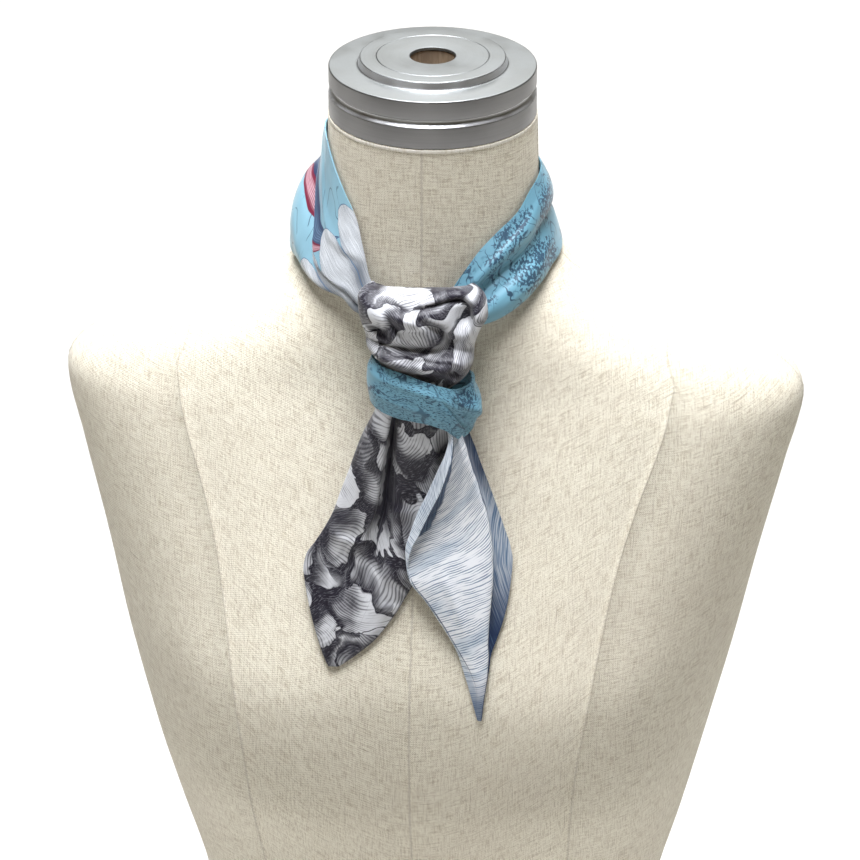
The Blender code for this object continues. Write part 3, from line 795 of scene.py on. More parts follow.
def vector_calc(operation, a, b):
    """A sum with points. To SCALE one, b is a plain value."""
    inputs = {0: a, ("Scale" if operation == "SCALE" else 1): b}
    return add_node("VectorMath", inputs, operation=operation)["Vector"]


def share_of(cut):
    """How far across and along its piece the place is, from 0 to 1."""
    return axes_of(map_place(cut.socket, "share"))


def warped(cut, scale, reach):
    """The cut's coordinates, shaken by noise, so that drawn edges wander by up to half of reach."""
    shake = vector_calc("SUBTRACT", grain(cut, scale, 1.0, output="Color"), (0.5, 0.5, 0.5))
    return vector_calc("ADD", cut, vector_calc("SCALE", shake, reach))


def hatch(phase, level, softness=0.3):
    """Pen lines, one for each unit of phase, that thin out as the level of light rises."""
    wave = calc("SINE", phase * math.tau)
    return ramp(wave * 0.5 + 0.5 - level, -softness, softness)


HATCH_PITCH = 0.0009


def build_petal_layer():
    """A layer of petals, one to each cell of a mosaic: its tone rises from a dark foot to a pale
    ruffled rim, and pen lines fan from the foot. Shade is the shadow that it casts round itself."""
    given = new_group(
        "petal_layer", Smooth="Vector", Rough="Vector", Petal="Float", Way="Float", Reach="Float",
        Seed="Float",
    )
    offset = point(given["Seed"], given["Seed"] * 0.37)
    in_cells = 1.0 / given["Petal"]
    rough = vector_calc("SCALE", vector_calc("ADD", given["Rough"], offset), in_cells)
    smooth = vector_calc("SCALE", vector_calc("ADD", given["Smooth"], offset), in_cells)
    mosaic = {"Vector": rough, "Scale": 1.0, "Randomness": 0.9}
    cell = add_node("TexVoronoi", mosaic, voronoi_dimensions="2D")
    edges = add_node("TexVoronoi", mosaic, voronoi_dimensions="2D", feature="DISTANCE_TO_EDGE")
    border = edges["Distance"]
    random = add_node("SeparateColor", {0: cell["Color"]})
    local = axes_of(vector_calc("SUBTRACT", smooth, cell["Position"]))
    turn = (random["Red"] - 0.5) * 2.6 + given["Way"]
    cos, sin = calc("COSINE", turn), calc("SINE", turn)
    ahead = local["X"] * cos + local["Y"] * sin
    aside = local["Y"] * cos - local["X"] * sin
    room = given["Reach"] - cell["Distance"] + ahead * 0.22
    mask = ramp(room, -0.01, 0.01)
    wave = grain(smooth, 2.2, 1.0)
    tone = ramp(ahead, -0.42, 0.5) + (random["Green"] * 0.3 - 0.2) + (wave - 0.5)
    tone = tone + calc("SINE", (wave * 0.6 + room) * 24.0) * 0.08
    tone = tone - ramp(border, 0.0, 0.14, 0.5, 0.0) * ramp(ahead, 0.3, -0.2)
    fan = aside / (ahead + 1.3) + ahead * ahead * (random["Blue"] * 0.5 - 0.25)
    stroke = grain(point(fan * 26.0, ahead * 3.0, random["Red"] * 40.0), 1.0, 2.0, "3D")
    level = tone + 0.08 + (stroke * 1.3 - 0.65)
    lines = given["Petal"] / HATCH_PITCH
    rim = fade(abs(room - 0.012), 0.008, 0.026)
    seam = fade(border, 0.01, 0.026) * mask
    return end_group(
        Mask=mask, Tone=tone, Ink=hatch(fan * lines, level), Line=highest(rim, seam),
        Shade=ramp(room, -0.2, 0.0),
    )


petal_layer = build_petal_layer()

# Each layer's size, how far its petals reach in their cells, its place in the mosaic and its turn.
PETAL_LAYERS = ((1.0, 3.0, 0.0, 0.0), (0.9, 0.46, 0.213, 0.7), (0.66, 0.42, 0.471, -0.8))


def build_engraved_flower():
    """A full flower of ruffled petals in three layers that lie over one another, drawn in ink."""
    given = new_group(
        "engraved_flower", Cut="Vector", Size="Float", Way="Float", Paper="Color", Dark="Color",
        Ink="Color",
    )
    way = point(0.0, 0.0, given["Way"])
    long = add_node("Mapping", {"Vector": given["Cut"], "Rotation": way})[0]
    smooth = warped(vector_calc("MULTIPLY", long, (0.72, 1.22, 1.0)), 30.0, 0.02)
    rough = warped(warped(smooth, 95.0, 0.01), 300.0, 0.003)
    colour = given["Dark"]
    for scale, reach, seed, veer in PETAL_LAYERS:
        layer = use_group(
            petal_layer, Smooth=smooth, Rough=rough, Petal=given["Size"] * scale, Way=veer, Reach=reach,
            Seed=seed,
        )
        drawn = blend(ramp(layer["Tone"], -0.02, 0.92), given["Dark"], given["Paper"])
        drawn = blend(layer["Ink"] * 0.68, drawn, given["Ink"])
        drawn = blend(layer["Line"], drawn, given["Ink"])
        below = blend(layer["Shade"] * 0.95, colour, given["Ink"])
        colour = blend(layer["Mask"], below, drawn)
    scratch = stretched_noise(smooth, (2400, 300, 1), 2.0, 0.6)
    colour = blend(ramp(scratch, 0.52, 0.72, 0.0, 0.3), colour, (0.42, 0.42, 0.46))
    return end_group(Colour=colour)


def build_long_leaf():
    """One long curved leaf: Side runs from -1 at one edge to 1 at the other."""
    given = new_group(
        "long_leaf", Cut="Vector", Middle="Vector", Turn="Float", Length="Float", Width="Float",
        Bend="Float",
    )
    away = vector_calc("SUBTRACT", warped(given["Cut"], 60.0, 0.004), given["Middle"])
    axes = axes_of(away)
    cos, sin = calc("COSINE", given["Turn"]), calc("SINE", given["Turn"])
    along = axes["X"] * cos + axes["Y"] * sin
    off = axes["Y"] * cos - axes["X"] * sin
    share = along / given["Length"]
    square = share * share
    side = (off - given["Bend"] * square) / highest(given["Width"] * (1.0 - square), 0.00001)
    stroke = grain(point(side * 4.0, along * 90.0), 1.0, 3.0)
    ink = hatch(side * 5.0, stroke * 1.6 - 0.4)
    return end_group(Mask=fade(abs(side), 0.97, 1.03), Side=side, Ink=ink)


def build_sprigs():
    """Fine dark foliage in loose clumps, thin contour lines, and short level pen dashes."""
    given = new_group("sprigs", Cut="Vector", Foliage="Float", Dashes="Float")
    cut = given["Cut"]
    clump = stretched_noise(warped(cut, 90.0, 0.01), (52, 34, 1)) + given["Foliage"]
    leaf = grain(cut, 620.0, 4.0) + ramp(clump, 0.5, 0.75, 0.0, 0.12)
    leaves = ramp(leaf, 0.51, 0.62) * ramp(clump, 0.53, 0.6)
    branch = abs(grain(warped(cut, 150.0, 0.006), 110.0, 1.0) - 0.5)
    twig = fade(branch, 0.008, 0.022) * ramp(clump, 0.44, 0.52)
    leaves = highest(leaves, twig)
    flow = grain(warped(cut, 70.0, 0.012), 26.0, 1.0)
    band = abs(calc("FRACT", flow * 7.0) - 0.5)
    contour = fade(band, 0.02, 0.055) * ramp(grain(cut, 90.0), 0.42, 0.52)
    dash = ramp(stretched_noise(warped(cut, 60.0, 0.006), (2200, 560, 1), 1.0), 0.55, 0.64)
    dash = dash * ramp(grain(cut, 48.0) + given["Dashes"], 0.45, 0.6)
    ink = highest(highest(leaves, contour * 0.8), dash)
    return end_group(Ink=ink)


engraved_flower = build_engraved_flower()
long_leaf = build_long_leaf()
sprigs = build_sprigs()
INK, SOOT, PAPER = (0.012, 0.010, 0.018), (0.028, 0.026, 0.038), (0.66, 0.67, 0.685)
TEAL, PALE_TEAL, TEAL_INK = (0.178, 0.396, 0.502), (0.265, 0.475, 0.570), (0.026, 0.058, 0.102)
NAVY, STEEL, WHITE = (0.022, 0.045, 0.110), (0.105, 0.175, 0.275), (0.86, 0.88, 0.90)
CRIMSON, ROSE = (0.165, 0.014, 0.038), (0.55, 0.34, 0.38)
PALE_STEEL, SLATE_LIGHT = (0.42, 0.52, 0.61), (0.52, 0.56, 0.60)
ASH, CHALK = (0.13, 0.15, 0.18), (0.66, 0.69, 0.71)


def paint_grey_flower(cut, way, size):
    flower = use_group(engraved_flower, Cut=cut, Size=size, Way=way, Paper=PAPER, Dark=SOOT, Ink=INK)
    return flower["Colour"]


def paint_wheel(cut, ground, centre, radius, count, turn, lines):
    """Lays long petals with round ends over what is there. They are set like spokes about a centre,
    with pen lines along them."""
    seat = warped(warped(cut, 24.0, 0.012), 160.0, 0.0012)
    spoke = vector_calc("SUBTRACT", seat, (*centre, 0.0))
    axes = axes_of(spoke)
    away = add_node("VectorMath", {0: spoke}, operation="LENGTH")["Value"]
    place = (calc("ARCTAN2", axes["Y"], axes["X"]) + turn) * (count / math.tau)
    share = calc("FRACT", place) - 0.5
    random = add_node("TexWhiteNoise", {"W": calc("FLOOR", place)}, noise_dimensions="1D")["Value"]
    reach = (random * 0.3 + 0.8) * radius
    room = reach * (calc("POWER", abs(share), 2.4) * -1.2 + 1.0) - away
    to_side = (0.5 - abs(share)) * (away * math.tau / count)
    tone = ramp(away / reach, 0.15, 0.8) + (random * 0.3 - 0.15)
    tone = tone - ramp(to_side, 0.0, 0.005, 0.55, 0.0)
    tone = (grain(seat, 70.0) - 0.5) * 0.9 + tone
    stroke = grain(point(place * 30.0, away * 60.0), 1.0)
    ink = hatch(place * lines, tone * 0.6 + 0.12 + (stroke * 1.8 - 0.9))
    edge = calc("MINIMUM", abs(room), to_side)
    line = fade(edge, 0.00012, 0.0004) * ramp(room, -0.0005, -0.0003)
    drawn = blend(ramp(tone, -0.2, 0.85), ASH, CHALK)
    drawn = blend(ink * 0.72, drawn, ASH)
    colour = blend(ramp(room, -0.0002, 0.0002), ground, drawn)
    return blend(line, colour, STEEL)


def paint_leaf(cut, ground, middle, turn, length, width, bend, edge, heart):
    """Lays one long leaf over what is there, dark at its edges and light along its heart."""
    leaf = use_group(
        long_leaf, Cut=cut, Middle=(*middle, 0.0), Turn=turn, Length=length, Width=width, Bend=bend,
    )
    drawn = blend(ramp(abs(leaf["Side"]), 0.35, 0.75), heart, edge)
    drawn = blend(leaf["Ink"] * 0.6, drawn, edge)
    return blend(leaf["Mask"], ground, drawn)


def paint_sprigs(cut, ground, foliage, dashes):
    """A ground colour with a faint cloud, and fine dark drawing on it."""
    ink = use_group(sprigs, Cut=cut, Foliage=foliage, Dashes=dashes)["Ink"]
    base = blend(ramp(grain(cut, 30.0, 3.0), 0.35, 0.7, 0.0, 0.22), ground, TEAL_INK)
    return blend(ink * 0.93, base, TEAL_INK)


# ------------------------ the loop round the neck
# The scarf's middle, laid round the neck: pressed flat, folded once lengthwise at the wearer's
# right, and fallen into two soft rolls at the left. It is one strip; it is laid in three pieces.
loop_section = smooth_table("""
turn top_z foot_z top_out crown1_w crown1_out fold_w fold_out tuck_w tuck_out crown2_w crown2_out
14 601 588 5 0.25 8 0.55 8.6 0.6 8 0.8 8
22 608 592 4.4 0.28 8.3 0.62 9.6 0.62 8 0.84 9
30 623 597 3 0.32 8 0.72 10.5 0.68 7.8 0.88 9.5
38 637 597 1.6 0.36 7 0.76 10.5 0.69 7 0.9 9.5
46 645 598 1.3 0.38 6 0.76 10 0.67 6.2 0.89 9.5
56 654 600 1.3 0.38 4.8 0.7 9 0.6 5.2 0.84 10.5
66 662 603 1.3 0.32 3.4 0.58 7.5 0.49 4.4 0.76 13
76 667 604 1.3 0.22 2.4 0.43 5.4 0.37 3.4 0.65 15
90 668 604 1.3 0.14 2 0.28 3.2 0.3 3.6 0.58 14
112 661 605 1.3 0.12 2.2 0.22 3.4 0.3 4.6 0.55 10.5
145 651 607 1.4 0.14 3 0.26 4.6 0.36 5.2 0.62 8.5
180 647 609 1.4 0.16 3.8 0.3 5.2 0.42 4.9 0.66 8
215 646 609 1.4 0.18 4.4 0.33 5.4 0.45 4.6 0.7 6.5
250 647 608 1.4 0.2 5 0.35 5.6 0.47 3.8 0.73 5
270 648 607 1.4 0.21 5.4 0.36 5.6 0.48 3.4 0.74 4.6
290 645 606 1.4 0.22 6 0.37 5.6 0.49 3.4 0.74 5.6
305 637 602 1.4 0.24 6.8 0.39 5.8 0.51 3.8 0.76 8.2
318 631.5 597 1.5 0.25 7.2 0.4 5.8 0.52 4.4 0.77 10
330 624.5 592 2.2 0.26 7.6 0.4 6.2 0.53 5.2 0.77 10.6
340 615 588 3.6 0.28 8 0.42 7 0.54 6.2 0.78 10
348 605 586 4.6 0.28 8 0.42 7.6 0.55 7.2 0.78 9
""")


def loop_point(turn, w):
    """A point of the neck loop, w of the way down its section."""
    s = loop_section(turn)
    foot_out, under_w = 1.5, 0.95
    under_out = foot_out + 0.55 * (s.crown2_out - foot_out)
    down, out = along_spline(
        (
            (0.0, s.top_out),
            (s.crown1_w, s.crown1_out),
            (s.fold_w, s.fold_out),
            (s.tuck_w, s.tuck_out),
            (s.crown2_w, s.crown2_out),
            (under_w, under_out),
            (1.0, foot_out),
        ),
        w,
    )
    z = s.top_z + (s.foot_z - s.top_z) * down
    return form_point(turn, z, out)


def lay_loop(name, node, first, last, material, start, folds):
    def place(u, v):
        return loop_point(first + (last - first) * v, u)

    piece = lay_silk(name, 90, 150, place, material, start, folds, 0.35, first)
    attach(piece, "root")
    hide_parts(node)


def paint_right(cut):
    """Pale teal, a red and a dark blue leaf, and round white petals towards the knot."""
    share = share_of(cut)
    ground = blend(ramp(share["Y"], 0.55, 1.0), PALE_TEAL, TEAL)
    colour = paint_sprigs(cut, ground, ramp(share["Y"], 0.6, 1.0, -0.25, 0.0), -0.3)
    colour = paint_leaf(cut, colour, (-0.004, 0.7), 1.35, 0.05, 0.0085, 0.012, NAVY, STEEL)
    colour = paint_leaf(cut, colour, (0.004, 0.69), 1.2, 0.034, 0.005, 0.01, CRIMSON, ROSE)
    return paint_wheel(cut, colour, (0.01, 0.6), 0.078, 22.0, 0.15, 34.0)


def paint_back(cut):
    colour = paint_sprigs(cut, TEAL, 0.0, -0.25)
    return paint_leaf(cut, colour, (0.0035, 0.532), 1.5, 0.055, 0.008, 0.01, NAVY, STEEL)


RIGHT_FOLDS = number_rows("""
-14 -6 -24 66 3 2.8 0.3 0.9
-4 -8 -8 78 -2 3 -0.3 0.8
7 -8 10 70 3 3.4 0.3 1
17 -6 26 62 -3 2.6 0 0.8
-22 40 -14 100 4 4 0 0.7
12 50 4 110 -4 4.5 0 0.8
""")
LEFT_FOLDS = number_rows("""
-6 116 -13 40 -2 2.4 0.3 0.9
1 116 -2 50 2 2.6 0 0.8
9 116 12 44 -2 2.8 -0.3 0.8
-10 60 -6 0 3 3.4 0 0.7
""")
BACK_FOLDS = number_rows("""
-6 -5 -2 70 3 3.5 0 0.8
8 20 2 110 -3 4 0 0.9
-12 60 -8 130 2 3 0 0.7
""")
teal_right = silk_material("silk_pale_teal", paint_right)
teal_back = silk_material("silk_teal_back", paint_back)
teal_left = silk_material("silk_teal_left", lambda cut: paint_sprigs(cut, TEAL, 0.02, -0.2))
lay_loop("loop_right", "neck_wrap_right", 14, 117.7, teal_right, 0.62, RIGHT_FOLDS)
lay_loop("loop_back", "neck_wrap_back", 118.3, 241.7, teal_back, 0.5, BACK_FOLDS)
lay_loop("loop_left", "neck_wrap_left", 242.3, 348, teal_left, 0.38, LEFT_FOLDS)

# ------------------------ the drape over the knot
# The front end comes up inside the loop and falls over the knot's front, rounded at its crest,
# with a hollow under its curled left edge, and a roll above the ring that holds it.
# Each fold: its ends' x and z, the bow of its line, its half width, its lean and its rise.
DRAPE_FOLDS = number_rows("""
0 612.3 31 612 -0.6 2.8 0 3
3 606.8 25 608.2 1.4 1.7 0.2 -5
25.5 608 29 590 -1.2 2.2 0 -6
31.5 610 33 596 0 2.2 0 2.4
-27 609 -14 601 0 5.4 0 3.2
-28 596.5 -13 592.8 1 2.2 0.2 -5.2
-15 608 -4 591 -1.5 1.9 0.3 -2.6
-19 590.6 24 594 -2.5 3.2 0.5 2.4
-14 604 6 598 2 2.8 -0.4 2.2
3 602 17 588 2 1.9 0 -3.4
13 606 21 591 -1.5 2.6 0.2 2.4
-24 587.6 16 581.4 -1 1.5 0 -2.2
-20 584 22 576.6 1 3.2 0.1 1.8
17 577.8 23.4 573.6 0 2 0 -6.5
15 583 25 577.4 2 1.5 0 1.8
-10 588.5 2 578 0.8 1.3 0 -0.9
2 586 9 575 0.8 1.4 0 -0.8
""")
drape_section = smooth_table("""
down left_z right_z left_x right_x front_y back_y crown trough roll wrap
0 596 596 -9 5 -54.6 -52.4 0 0 0 0
0.07 603 603.5 -11 7 -55.4 -53.2 0 0 0 0
0.14 607.5 608.5 -17 15 -58.5 -56.5 0 0.2 0 0.1
0.2 610.5 611.5 -22 24 -64 -60 0.5 1 0 0.35
0.27 611.5 613 -25.5 29 -71 -60 1 2.5 0.5 0.7
0.36 608 609.5 -28 32.5 -77.5 -60 1.5 6.5 1 1
0.47 601 602 -27.5 33.5 -81 -60 2 9.5 2 1
0.59 594.5 594.5 -26 30 -80.5 -60 1.5 6.5 3 1
0.66 591 589 -25 28 -79 -61 1.5 3.5 2.5 1
0.73 588.5 585 -24.3 27 -78.2 -62 1.5 1.5 2 1
0.8 586 580.5 -23.8 27.2 -83.2 -63 2.5 0 1 1
0.87 583 575 -22 25.6 -84.6 -64.5 2.4 0 1 0.9
0.94 579 569.5 -18.9 22 -82 -66.5 1 0 1 0.8
1 575.5 565.5 -17.4 18 -79.5 -68 0 0 0.5 0.6
""")


def drape_point(u, v):
    """A point of the drape: u from its left side to its right, v from its hidden end to its foot."""
    s = drape_section(v)
    front, back = s.front_y, s.back_y
    middle = (s.left_x + s.right_x) / 2
    half = (s.right_x - s.left_x) / 2
    side_y = front + 0.5 * (back - front)
    tucked, turned = 1 - 0.18 * s.wrap, 1 - 0.08 * (1 - s.wrap)
    share, y = along_spline(
        (
            (-tucked, back),
            (-turned, side_y),
            (-0.80, front + 0.12 * (back - front)),
            (-0.30, front - s.crown),
            (0.20, front - 0.6 * s.crown),
            (0.62, front + s.trough),
            (0.84, front + s.roll),
            (turned, side_y),
            (tucked, back),
        ),
        u,
    )
    x = middle + half * share
    z = s.left_z + (s.right_z - s.left_z) * (share + 1) / 2
    if v > 0.3:
        y -= fold_height(DRAPE_FOLDS, x, z) * (1 - share**4) * min(1.0, (v - 0.3) / 0.08)
    return (x, y, z)


grey_drape = silk_material("silk_grey_drape", lambda cut: paint_grey_flower(cut, 1.1, 0.044))
drape = lay_silk("knot_cloth", 150, 150, drape_point, grey_drape, 0.200, (), 0.3, 4.0)
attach(drape, "root")
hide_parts("knot_drape")

# ------------------------ the ring round the knot
# The other end wraps once round the knot, from behind, across the front and back again, and is
# pulled tight, so its edges turn in a little.
ring_section = smooth_table("""
along x y top_z foot_z bulge
0 -3 -59.3 580 562 0.3
0.09 -14 -60.2 580 560 0.6
0.17 -20.8 -65 580 558 0.9
0.25 -22.8 -73 579.6 557 0.9
0.34 -18.9 -81.5 578.4 555 1.2
0.44 -7 -86.8 576.5 552.5 1
0.54 5 -88.2 573 551.2 1
0.64 15.5 -86.8 569.5 547.2 1
0.72 22.2 -82 567.6 541 1.4
0.8 28 -74.5 568.5 545 3
0.88 26 -66 571 550 2.4
0.94 17.5 -60.2 572.5 553 1
1 6 -59.3 573 554 0.3
""")


def ring_point(u, v):
    """A point of the knot's ring: u across it from its top edge, v round the knot."""
    s, ahead = ring_section(v), ring_section(min(v + 0.01, 1.0))
    behind = ring_section(max(v - 0.01, 0.0))
    run = Vector((ahead.x - behind.x, ahead.y - behind.y, 0)).normalized()
    outward = Vector((run.y, -run.x, 0))
    curl = 1.6
    _, out = along_spline(((0, -curl), (0, 0.3), (0, s.bulge), (0, 0.5 * s.bulge), (0, -0.4)), u)
    z = s.top_z + (s.foot_z - s.top_z) * u
    return Vector((s.x, s.y, z)) + outward * out


RING_FOLDS = number_rows("""
-6 30 -3 92 1 1.7 0 0.7
3 36 7 80 1 1.6 0 0.6
-9 82 9 103 1 1.9 0.3 1.7
-5 74 12 95 1 1.4 0 -1.3
-11 100 -2 122 1 1.8 0 1.2
""")
teal_ring = silk_material("silk_teal_ring", lambda cut: paint_sprigs(cut, TEAL, -0.1, 0.12))
ring = lay_silk("knot_band", 44, 190, ring_point, teal_ring, 0.33, RING_FOLDS, 0.2, 5.0)
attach(ring, "root")
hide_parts("knot_ring")

# ------------------------ the two tails
# The scarf's pointed ends. The front one hangs in two soft folds that open out to its point; the
# back one is rolled along its hem, and its far edge turns back behind a ridge.
HANG_Y, HANG_BLEND = -72.0, 8.0
FRONT_TOP, FRONT_TIP, BACK_TOP, BACK_TIP = 562, 425.5, 556, 403
front_section = smooth_table("""
z left_x left_out lobe1_out valley_x valley_half valley_out lobe2_out right_x right_out
562 -16 4 9.8 -8 1.6 4.6 12.2 9 6
551 -20 3 10.6 -9.5 1.6 3.5 12.2 13 5
540 -25 3 11 -11 1.9 2.5 12 17 5
530 -28.6 3 11 -12 2.2 2 10.8 18 4
520 -31.8 3 11 -13 2.6 1.8 9.6 17.5 3
508 -36 3 11 -14 3.2 1.6 9.2 16 2.4
499 -39 2.8 10.5 -15 4 1.6 8.8 14 2
491 -43 2.5 9 -16.5 4.8 1.6 8.3 11.5 1.8
483 -47.8 2.2 6.5 -18 5 1.7 8 8.5 1.7
476 -52.3 2 5 -19 4.5 2 7.5 5.5 1.6
470 -53.4 1.8 4.4 -19 4 2.4 6.8 3 1.6
463 -52.4 1.6 4.2 -19 3.5 3 4.8 -1 1.5
452 -49.5 1.5 4.2 -22 3 3.6 3.8 -7.5 1.4
439 -45.4 1.4 3.6 -29 3 3.2 2.8 -17 1.4
429 -41.5 1.2 2.2 -36 2 2.2 2 -29.5 1.2
425.5 -39.6 1.1 1.5 -37.5 1 1.5 1.5 -35 1.1
""")
back_section = smooth_table("""
z hem hem_out left left_out hollow hollow_out face face_out ridge ridge_out dip dip_out wing wing_out
556 16 9.6 14.8 8.4 15.8 6 17.4 6 19.4 6.4 20.6 4.8 22 2.8
548 17.4 10.6 15.8 9.4 17 6.8 18.8 6.8 21 7.2 22.4 5.2 23.8 3.2
541 18.6 12 16.6 10.8 18 7.8 20 8 22.6 8.8 24.2 5.8 26.2 3.8
535 18.6 15.2 15.4 13.2 17.8 9 20.6 9.2 24.6 10.6 26.2 6.4 28.6 4.4
528 17 17 12.5 14.6 16.5 9.8 21 9.6 26.5 11.6 28.4 6 31 4.6
516 13 17.4 7.7 15 13 10.2 21 9.4 30 11.6 31.8 5.2 35.4 4.2
505 8 17 2.8 14.6 9 10.4 19.5 9.4 33.2 11.4 34.8 4.6 39.4 3.8
494 3.2 15.6 -1 13.6 4.5 10.2 18 9.8 35.6 11 37 4.2 43.5 3.2
485 -0.8 13.6 -3.2 11.8 -0.5 9.2 17.5 10 37 10.4 38.5 3.8 46.8 2.6
478 -2 11.8 -2.6 10.4 -0.6 9 17.5 10.2 37.4 9.8 38.9 3.4 48.2 2.2
471 -1.2 9.6 -0.6 9.2 1.8 9.2 19 10 37.6 9 39 3 47.9 1.9
460 7 6.2 7.6 7 10 7.6 22.5 8.8 37.2 7.8 38.5 2.6 46.8 1.6
450 13.8 3.8 14.6 5.2 17 6.2 26 7.6 36.8 6.8 38 2.4 44.6 1.5
442 19 2.6 20 4.2 22 5.2 29 6.4 36.9 6 38 2.2 42 1.4
434 23.6 1.8 25.2 3.4 27 4.4 31.5 5.2 37.6 4.8 38.4 2 39.4 1.3
426 26.6 1.4 30.2 2.9 31.4 3.6 34 4.2 37.6 3.6 38.2 2 38.6 1.3
419 29.2 1.3 33 2.5 33.8 3 35.2 3.2 37 2.6 37.4 1.8 37.6 1.2
411 31.8 1.2 34 1.9 34.4 2.2 35.2 2.3 36.2 1.9 36.4 1.6 36.6 1.2
403 34.2 1.1 34.7 1.3 34.9 1.4 35.2 1.4 35.6 1.3 35.8 1.2 36 1.1
""")
# Each fold of the tails: its ends' x and z, the bow of its line, its half width, lean and rise.
FRONT_FOLDS = number_rows("""
-39 489 -21 487 -2 3.6 -0.5 1.5
-14 503 3 504 -1.5 3.6 -0.5 1.3
-19 457 -2 455 -1.5 3.6 -0.5 1.2
-19 556 -31 500 2 2.2 0 0.9
-1 556 -4 500 -2 2.4 0 0.9
8 556 9 505 1 2 0 0.8
-44 476 -33 432 2 3 0 0.8
-30 474 -34 440 -1 2.4 0 0.7
""")
BACK_TAIL_FOLDS = number_rows("""
18 540 12 480 -2 2 0 0.7
22 545 21 470 2 2.4 0 0.8
27 480 32 425 1 2.2 0 0.6
12 478 28 440 2 2.4 0 0.6
""")
GATHER_RISE, GATHER_REACH, GATHER_COUNT = 0.55, 16.0, 6


def gathers(u, down):
    """The small pleats that the knot presses in, which die away down the tail."""
    wave = math.sin(math.tau * (GATHER_COUNT * u + 0.35 * math.sin(9 * u)))
    return GATHER_RISE * math.exp(-down / GATHER_REACH) * wave


def tail_place(x, z, out):
    """A tail hangs clear below the knot, then comes to rest on the chest and follows it."""
    chest = form_front_y(x, z)
    apart = chest - HANG_Y
    base = (chest + HANG_Y - math.sqrt(apart**2 + HANG_BLEND**2)) / 2
    return (x, base - out, z)


def front_tail_point(u, v):
    """A point of the front tail: u across it, v from the knot to its tip."""
    z = FRONT_TOP + (FRONT_TIP - FRONT_TOP) * v
    s = front_section(z)
    valley_left, valley_right = s.valley_x - s.valley_half, s.valley_x + s.valley_half
    width1, width2 = valley_left - s.left_x, s.right_x - valley_right
    x, out = along_spline(
        (
            (s.left_x + 0.12 * width1, s.left_out),
            (s.left_x, (s.left_out + s.lobe1_out) / 2),
            (s.left_x + 0.3 * width1, s.lobe1_out),
            (valley_left - 0.12 * width1, s.lobe1_out),
            (valley_left, (s.lobe1_out + s.valley_out) / 2),
            (s.valley_x, s.valley_out),
            (valley_right, (s.lobe2_out + s.valley_out) / 2),
            (valley_right + 0.14 * width2, s.lobe2_out),
            (s.right_x - 0.4 * width2, s.lobe2_out * 0.9),
            (s.right_x, s.right_out),
        ),
        u,
    )
    return tail_place(x, z, out + fold_height(FRONT_FOLDS, x, z) + gathers(u, FRONT_TOP - z))


def back_tail_point(u, v):
    """A point of the back tail: u from its rolled hem to its wing, v from the knot to its tip."""
    z = BACK_TOP + (BACK_TIP - BACK_TOP) * v
    s = back_section(z)
    names = ("hem", "left", "hollow", "face", "ridge", "dip", "wing")
    x, out = along_spline([(getattr(s, name), getattr(s, name + "_out")) for name in names], u)
    return tail_place(x, z, out + fold_height(BACK_TAIL_FOLDS, x, z) + gathers(u, BACK_TOP - z))


def paint_front_tail(cut):
    """The engraved flower, with one long dark strip down the valley between the folds: a printed leaf
    and painted shade of the valley together.
    """
    colour = paint_grey_flower(cut, -0.9, 0.046)
    share = share_of(cut)
    # The dark strip down the valley: printed leaf and painted shade of the valley together.
    shaken = grain(cut, 130.0) * 0.1 + share["X"]
    off = abs(shaken - 0.6)
    half = ramp(share["Y"], 0.42, 0.62, 0.075, 0.0)
    leaf = ramp(off - half, -0.008, 0.006, 0.95, 0.0)
    threads = ramp(stretched_noise(cut, (1900, 90, 1), 2.0), 0.42, 0.75, 0.0, 0.5)
    colour = blend(leaf, colour, blend(threads, INK, (0.16, 0.16, 0.2)))
    edge = ramp(abs(share["X"] - 0.5), 0.48, 0.49, 0.0, 0.85)
    return blend(edge, colour, INK)


grey_tail = silk_material("silk_grey_tail", paint_front_tail)
front_tail = lay_silk("front_tail", 130, 170, front_tail_point, grey_tail, 0.0, (), 0.35, 6.0)
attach(front_tail, "root")
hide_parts("tail_front")

PEN_PITCH = 0.0011


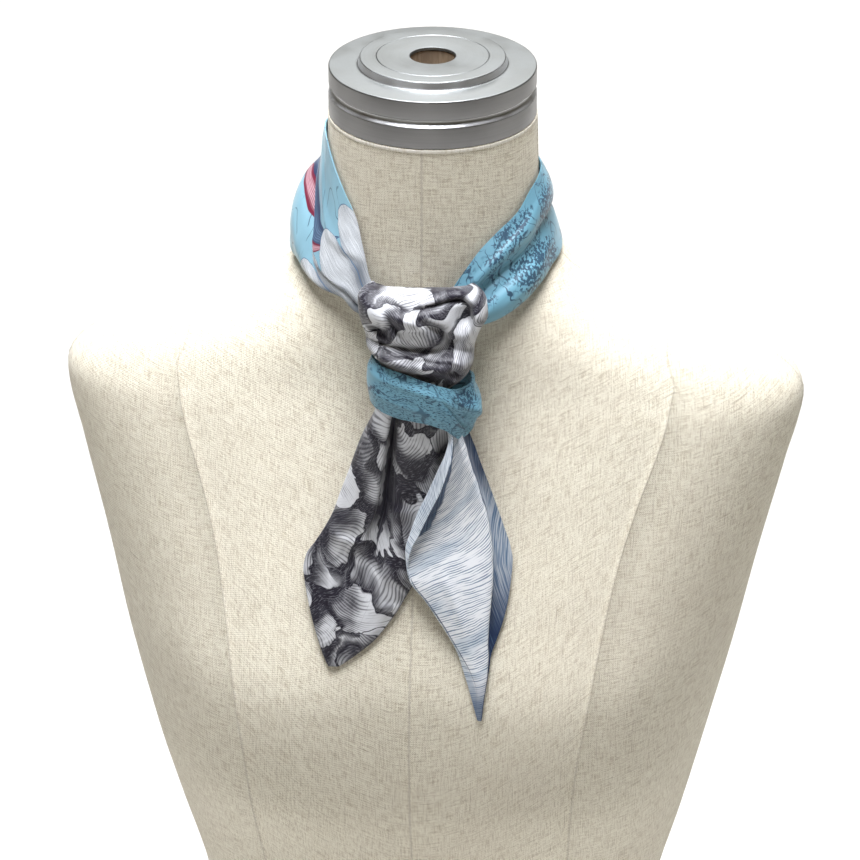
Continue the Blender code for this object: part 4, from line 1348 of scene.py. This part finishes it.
def paint_blue(cut):
    """A broad white petal swept with pen lines; slate blue beyond the ridge, and navy in the rolled hem.
    Both are print and painted shade together: the shade behind the ridge and in the hem's hollow.
    """
    seat = axes_of(warped(warped(cut, 22.0, 0.007), 300.0, 0.0003))
    steep = ramp(seat["Y"], 0.85, 0.945, 1.75, 0.42)
    rise = (seat["X"] + 0.006) * steep + seat["Y"]
    along = seat["X"] - seat["Y"] * 0.3
    band = ramp(grain(point(rise * 95.0, along * 16.0), 1.0, 3.0), 0.5, 0.7)
    stroke = grain(point(rise * 900.0, along * 85.0), 1.0)
    ink = hatch(rise / PEN_PITCH, stroke * 2.0 - 0.18, 0.25)
    share = share_of(cut)
    shaken = grain(cut, 120.0) * 0.05 + share["X"]
    colour = blend(band * 0.55, WHITE, PALE_STEEL)
    colour = blend(ramp(shaken, 0.16, 0.2, 0.4, 0.0), colour, PALE_STEEL)
    colour = blend(ink * 0.88, colour, STEEL)
    tip = ramp(share["Y"], 0.83, 0.97, 0.0, 0.8)
    colour = blend(tip, colour, (0.05, 0.09, 0.17))
    wing = ramp(shaken, 0.745, 0.765)
    # The wing goes darker towards the tip and near the knot: print and painted shade behind the ridge
    # together.
    depth = highest(ramp(share["Y"], 0.46, 0.74), ramp(share["Y"], 0.2, 0.34, 0.85, 0.0))
    threads = stretched_noise(cut, (1700, 60, 1), 2.0)
    slate = blend(ramp(threads, 0.35, 0.65), STEEL, SLATE_LIGHT)
    slate = blend(depth, slate, blend(ramp(threads, 0.55, 0.85), (0.016, 0.032, 0.08), STEEL))
    colour = blend(wing, colour, slate)
    outline = ramp(abs(shaken - 0.755), 0.008, 0.016, 0.9, 0.0)
    colour = blend(outline, colour, NAVY)
    # Navy down the hollow beside the rolled hem: print and painted shade of the hollow together.
    limit = ramp(share["Y"], 0.34, 0.52, 0.415, 0.3)
    hollow = ramp(shaken, 0.24, 0.26) * ramp(share["Y"], 0.06, 0.14, 0.0, 0.92)
    hollow = hollow * fade(shaken - limit, -0.004, 0.014)
    hollow_print_and_shade = blend(ramp(threads, 0.35, 0.7), NAVY, STEEL)
    return blend(hollow, colour, hollow_print_and_shade)


blue_tail = silk_material("silk_blue_tail", paint_blue)
back_tail = lay_silk("back_tail", 110, 180, back_tail_point, blue_tail, 0.85, (), 0.3, 7.0)
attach(back_tail, "root")
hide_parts("tail_back")
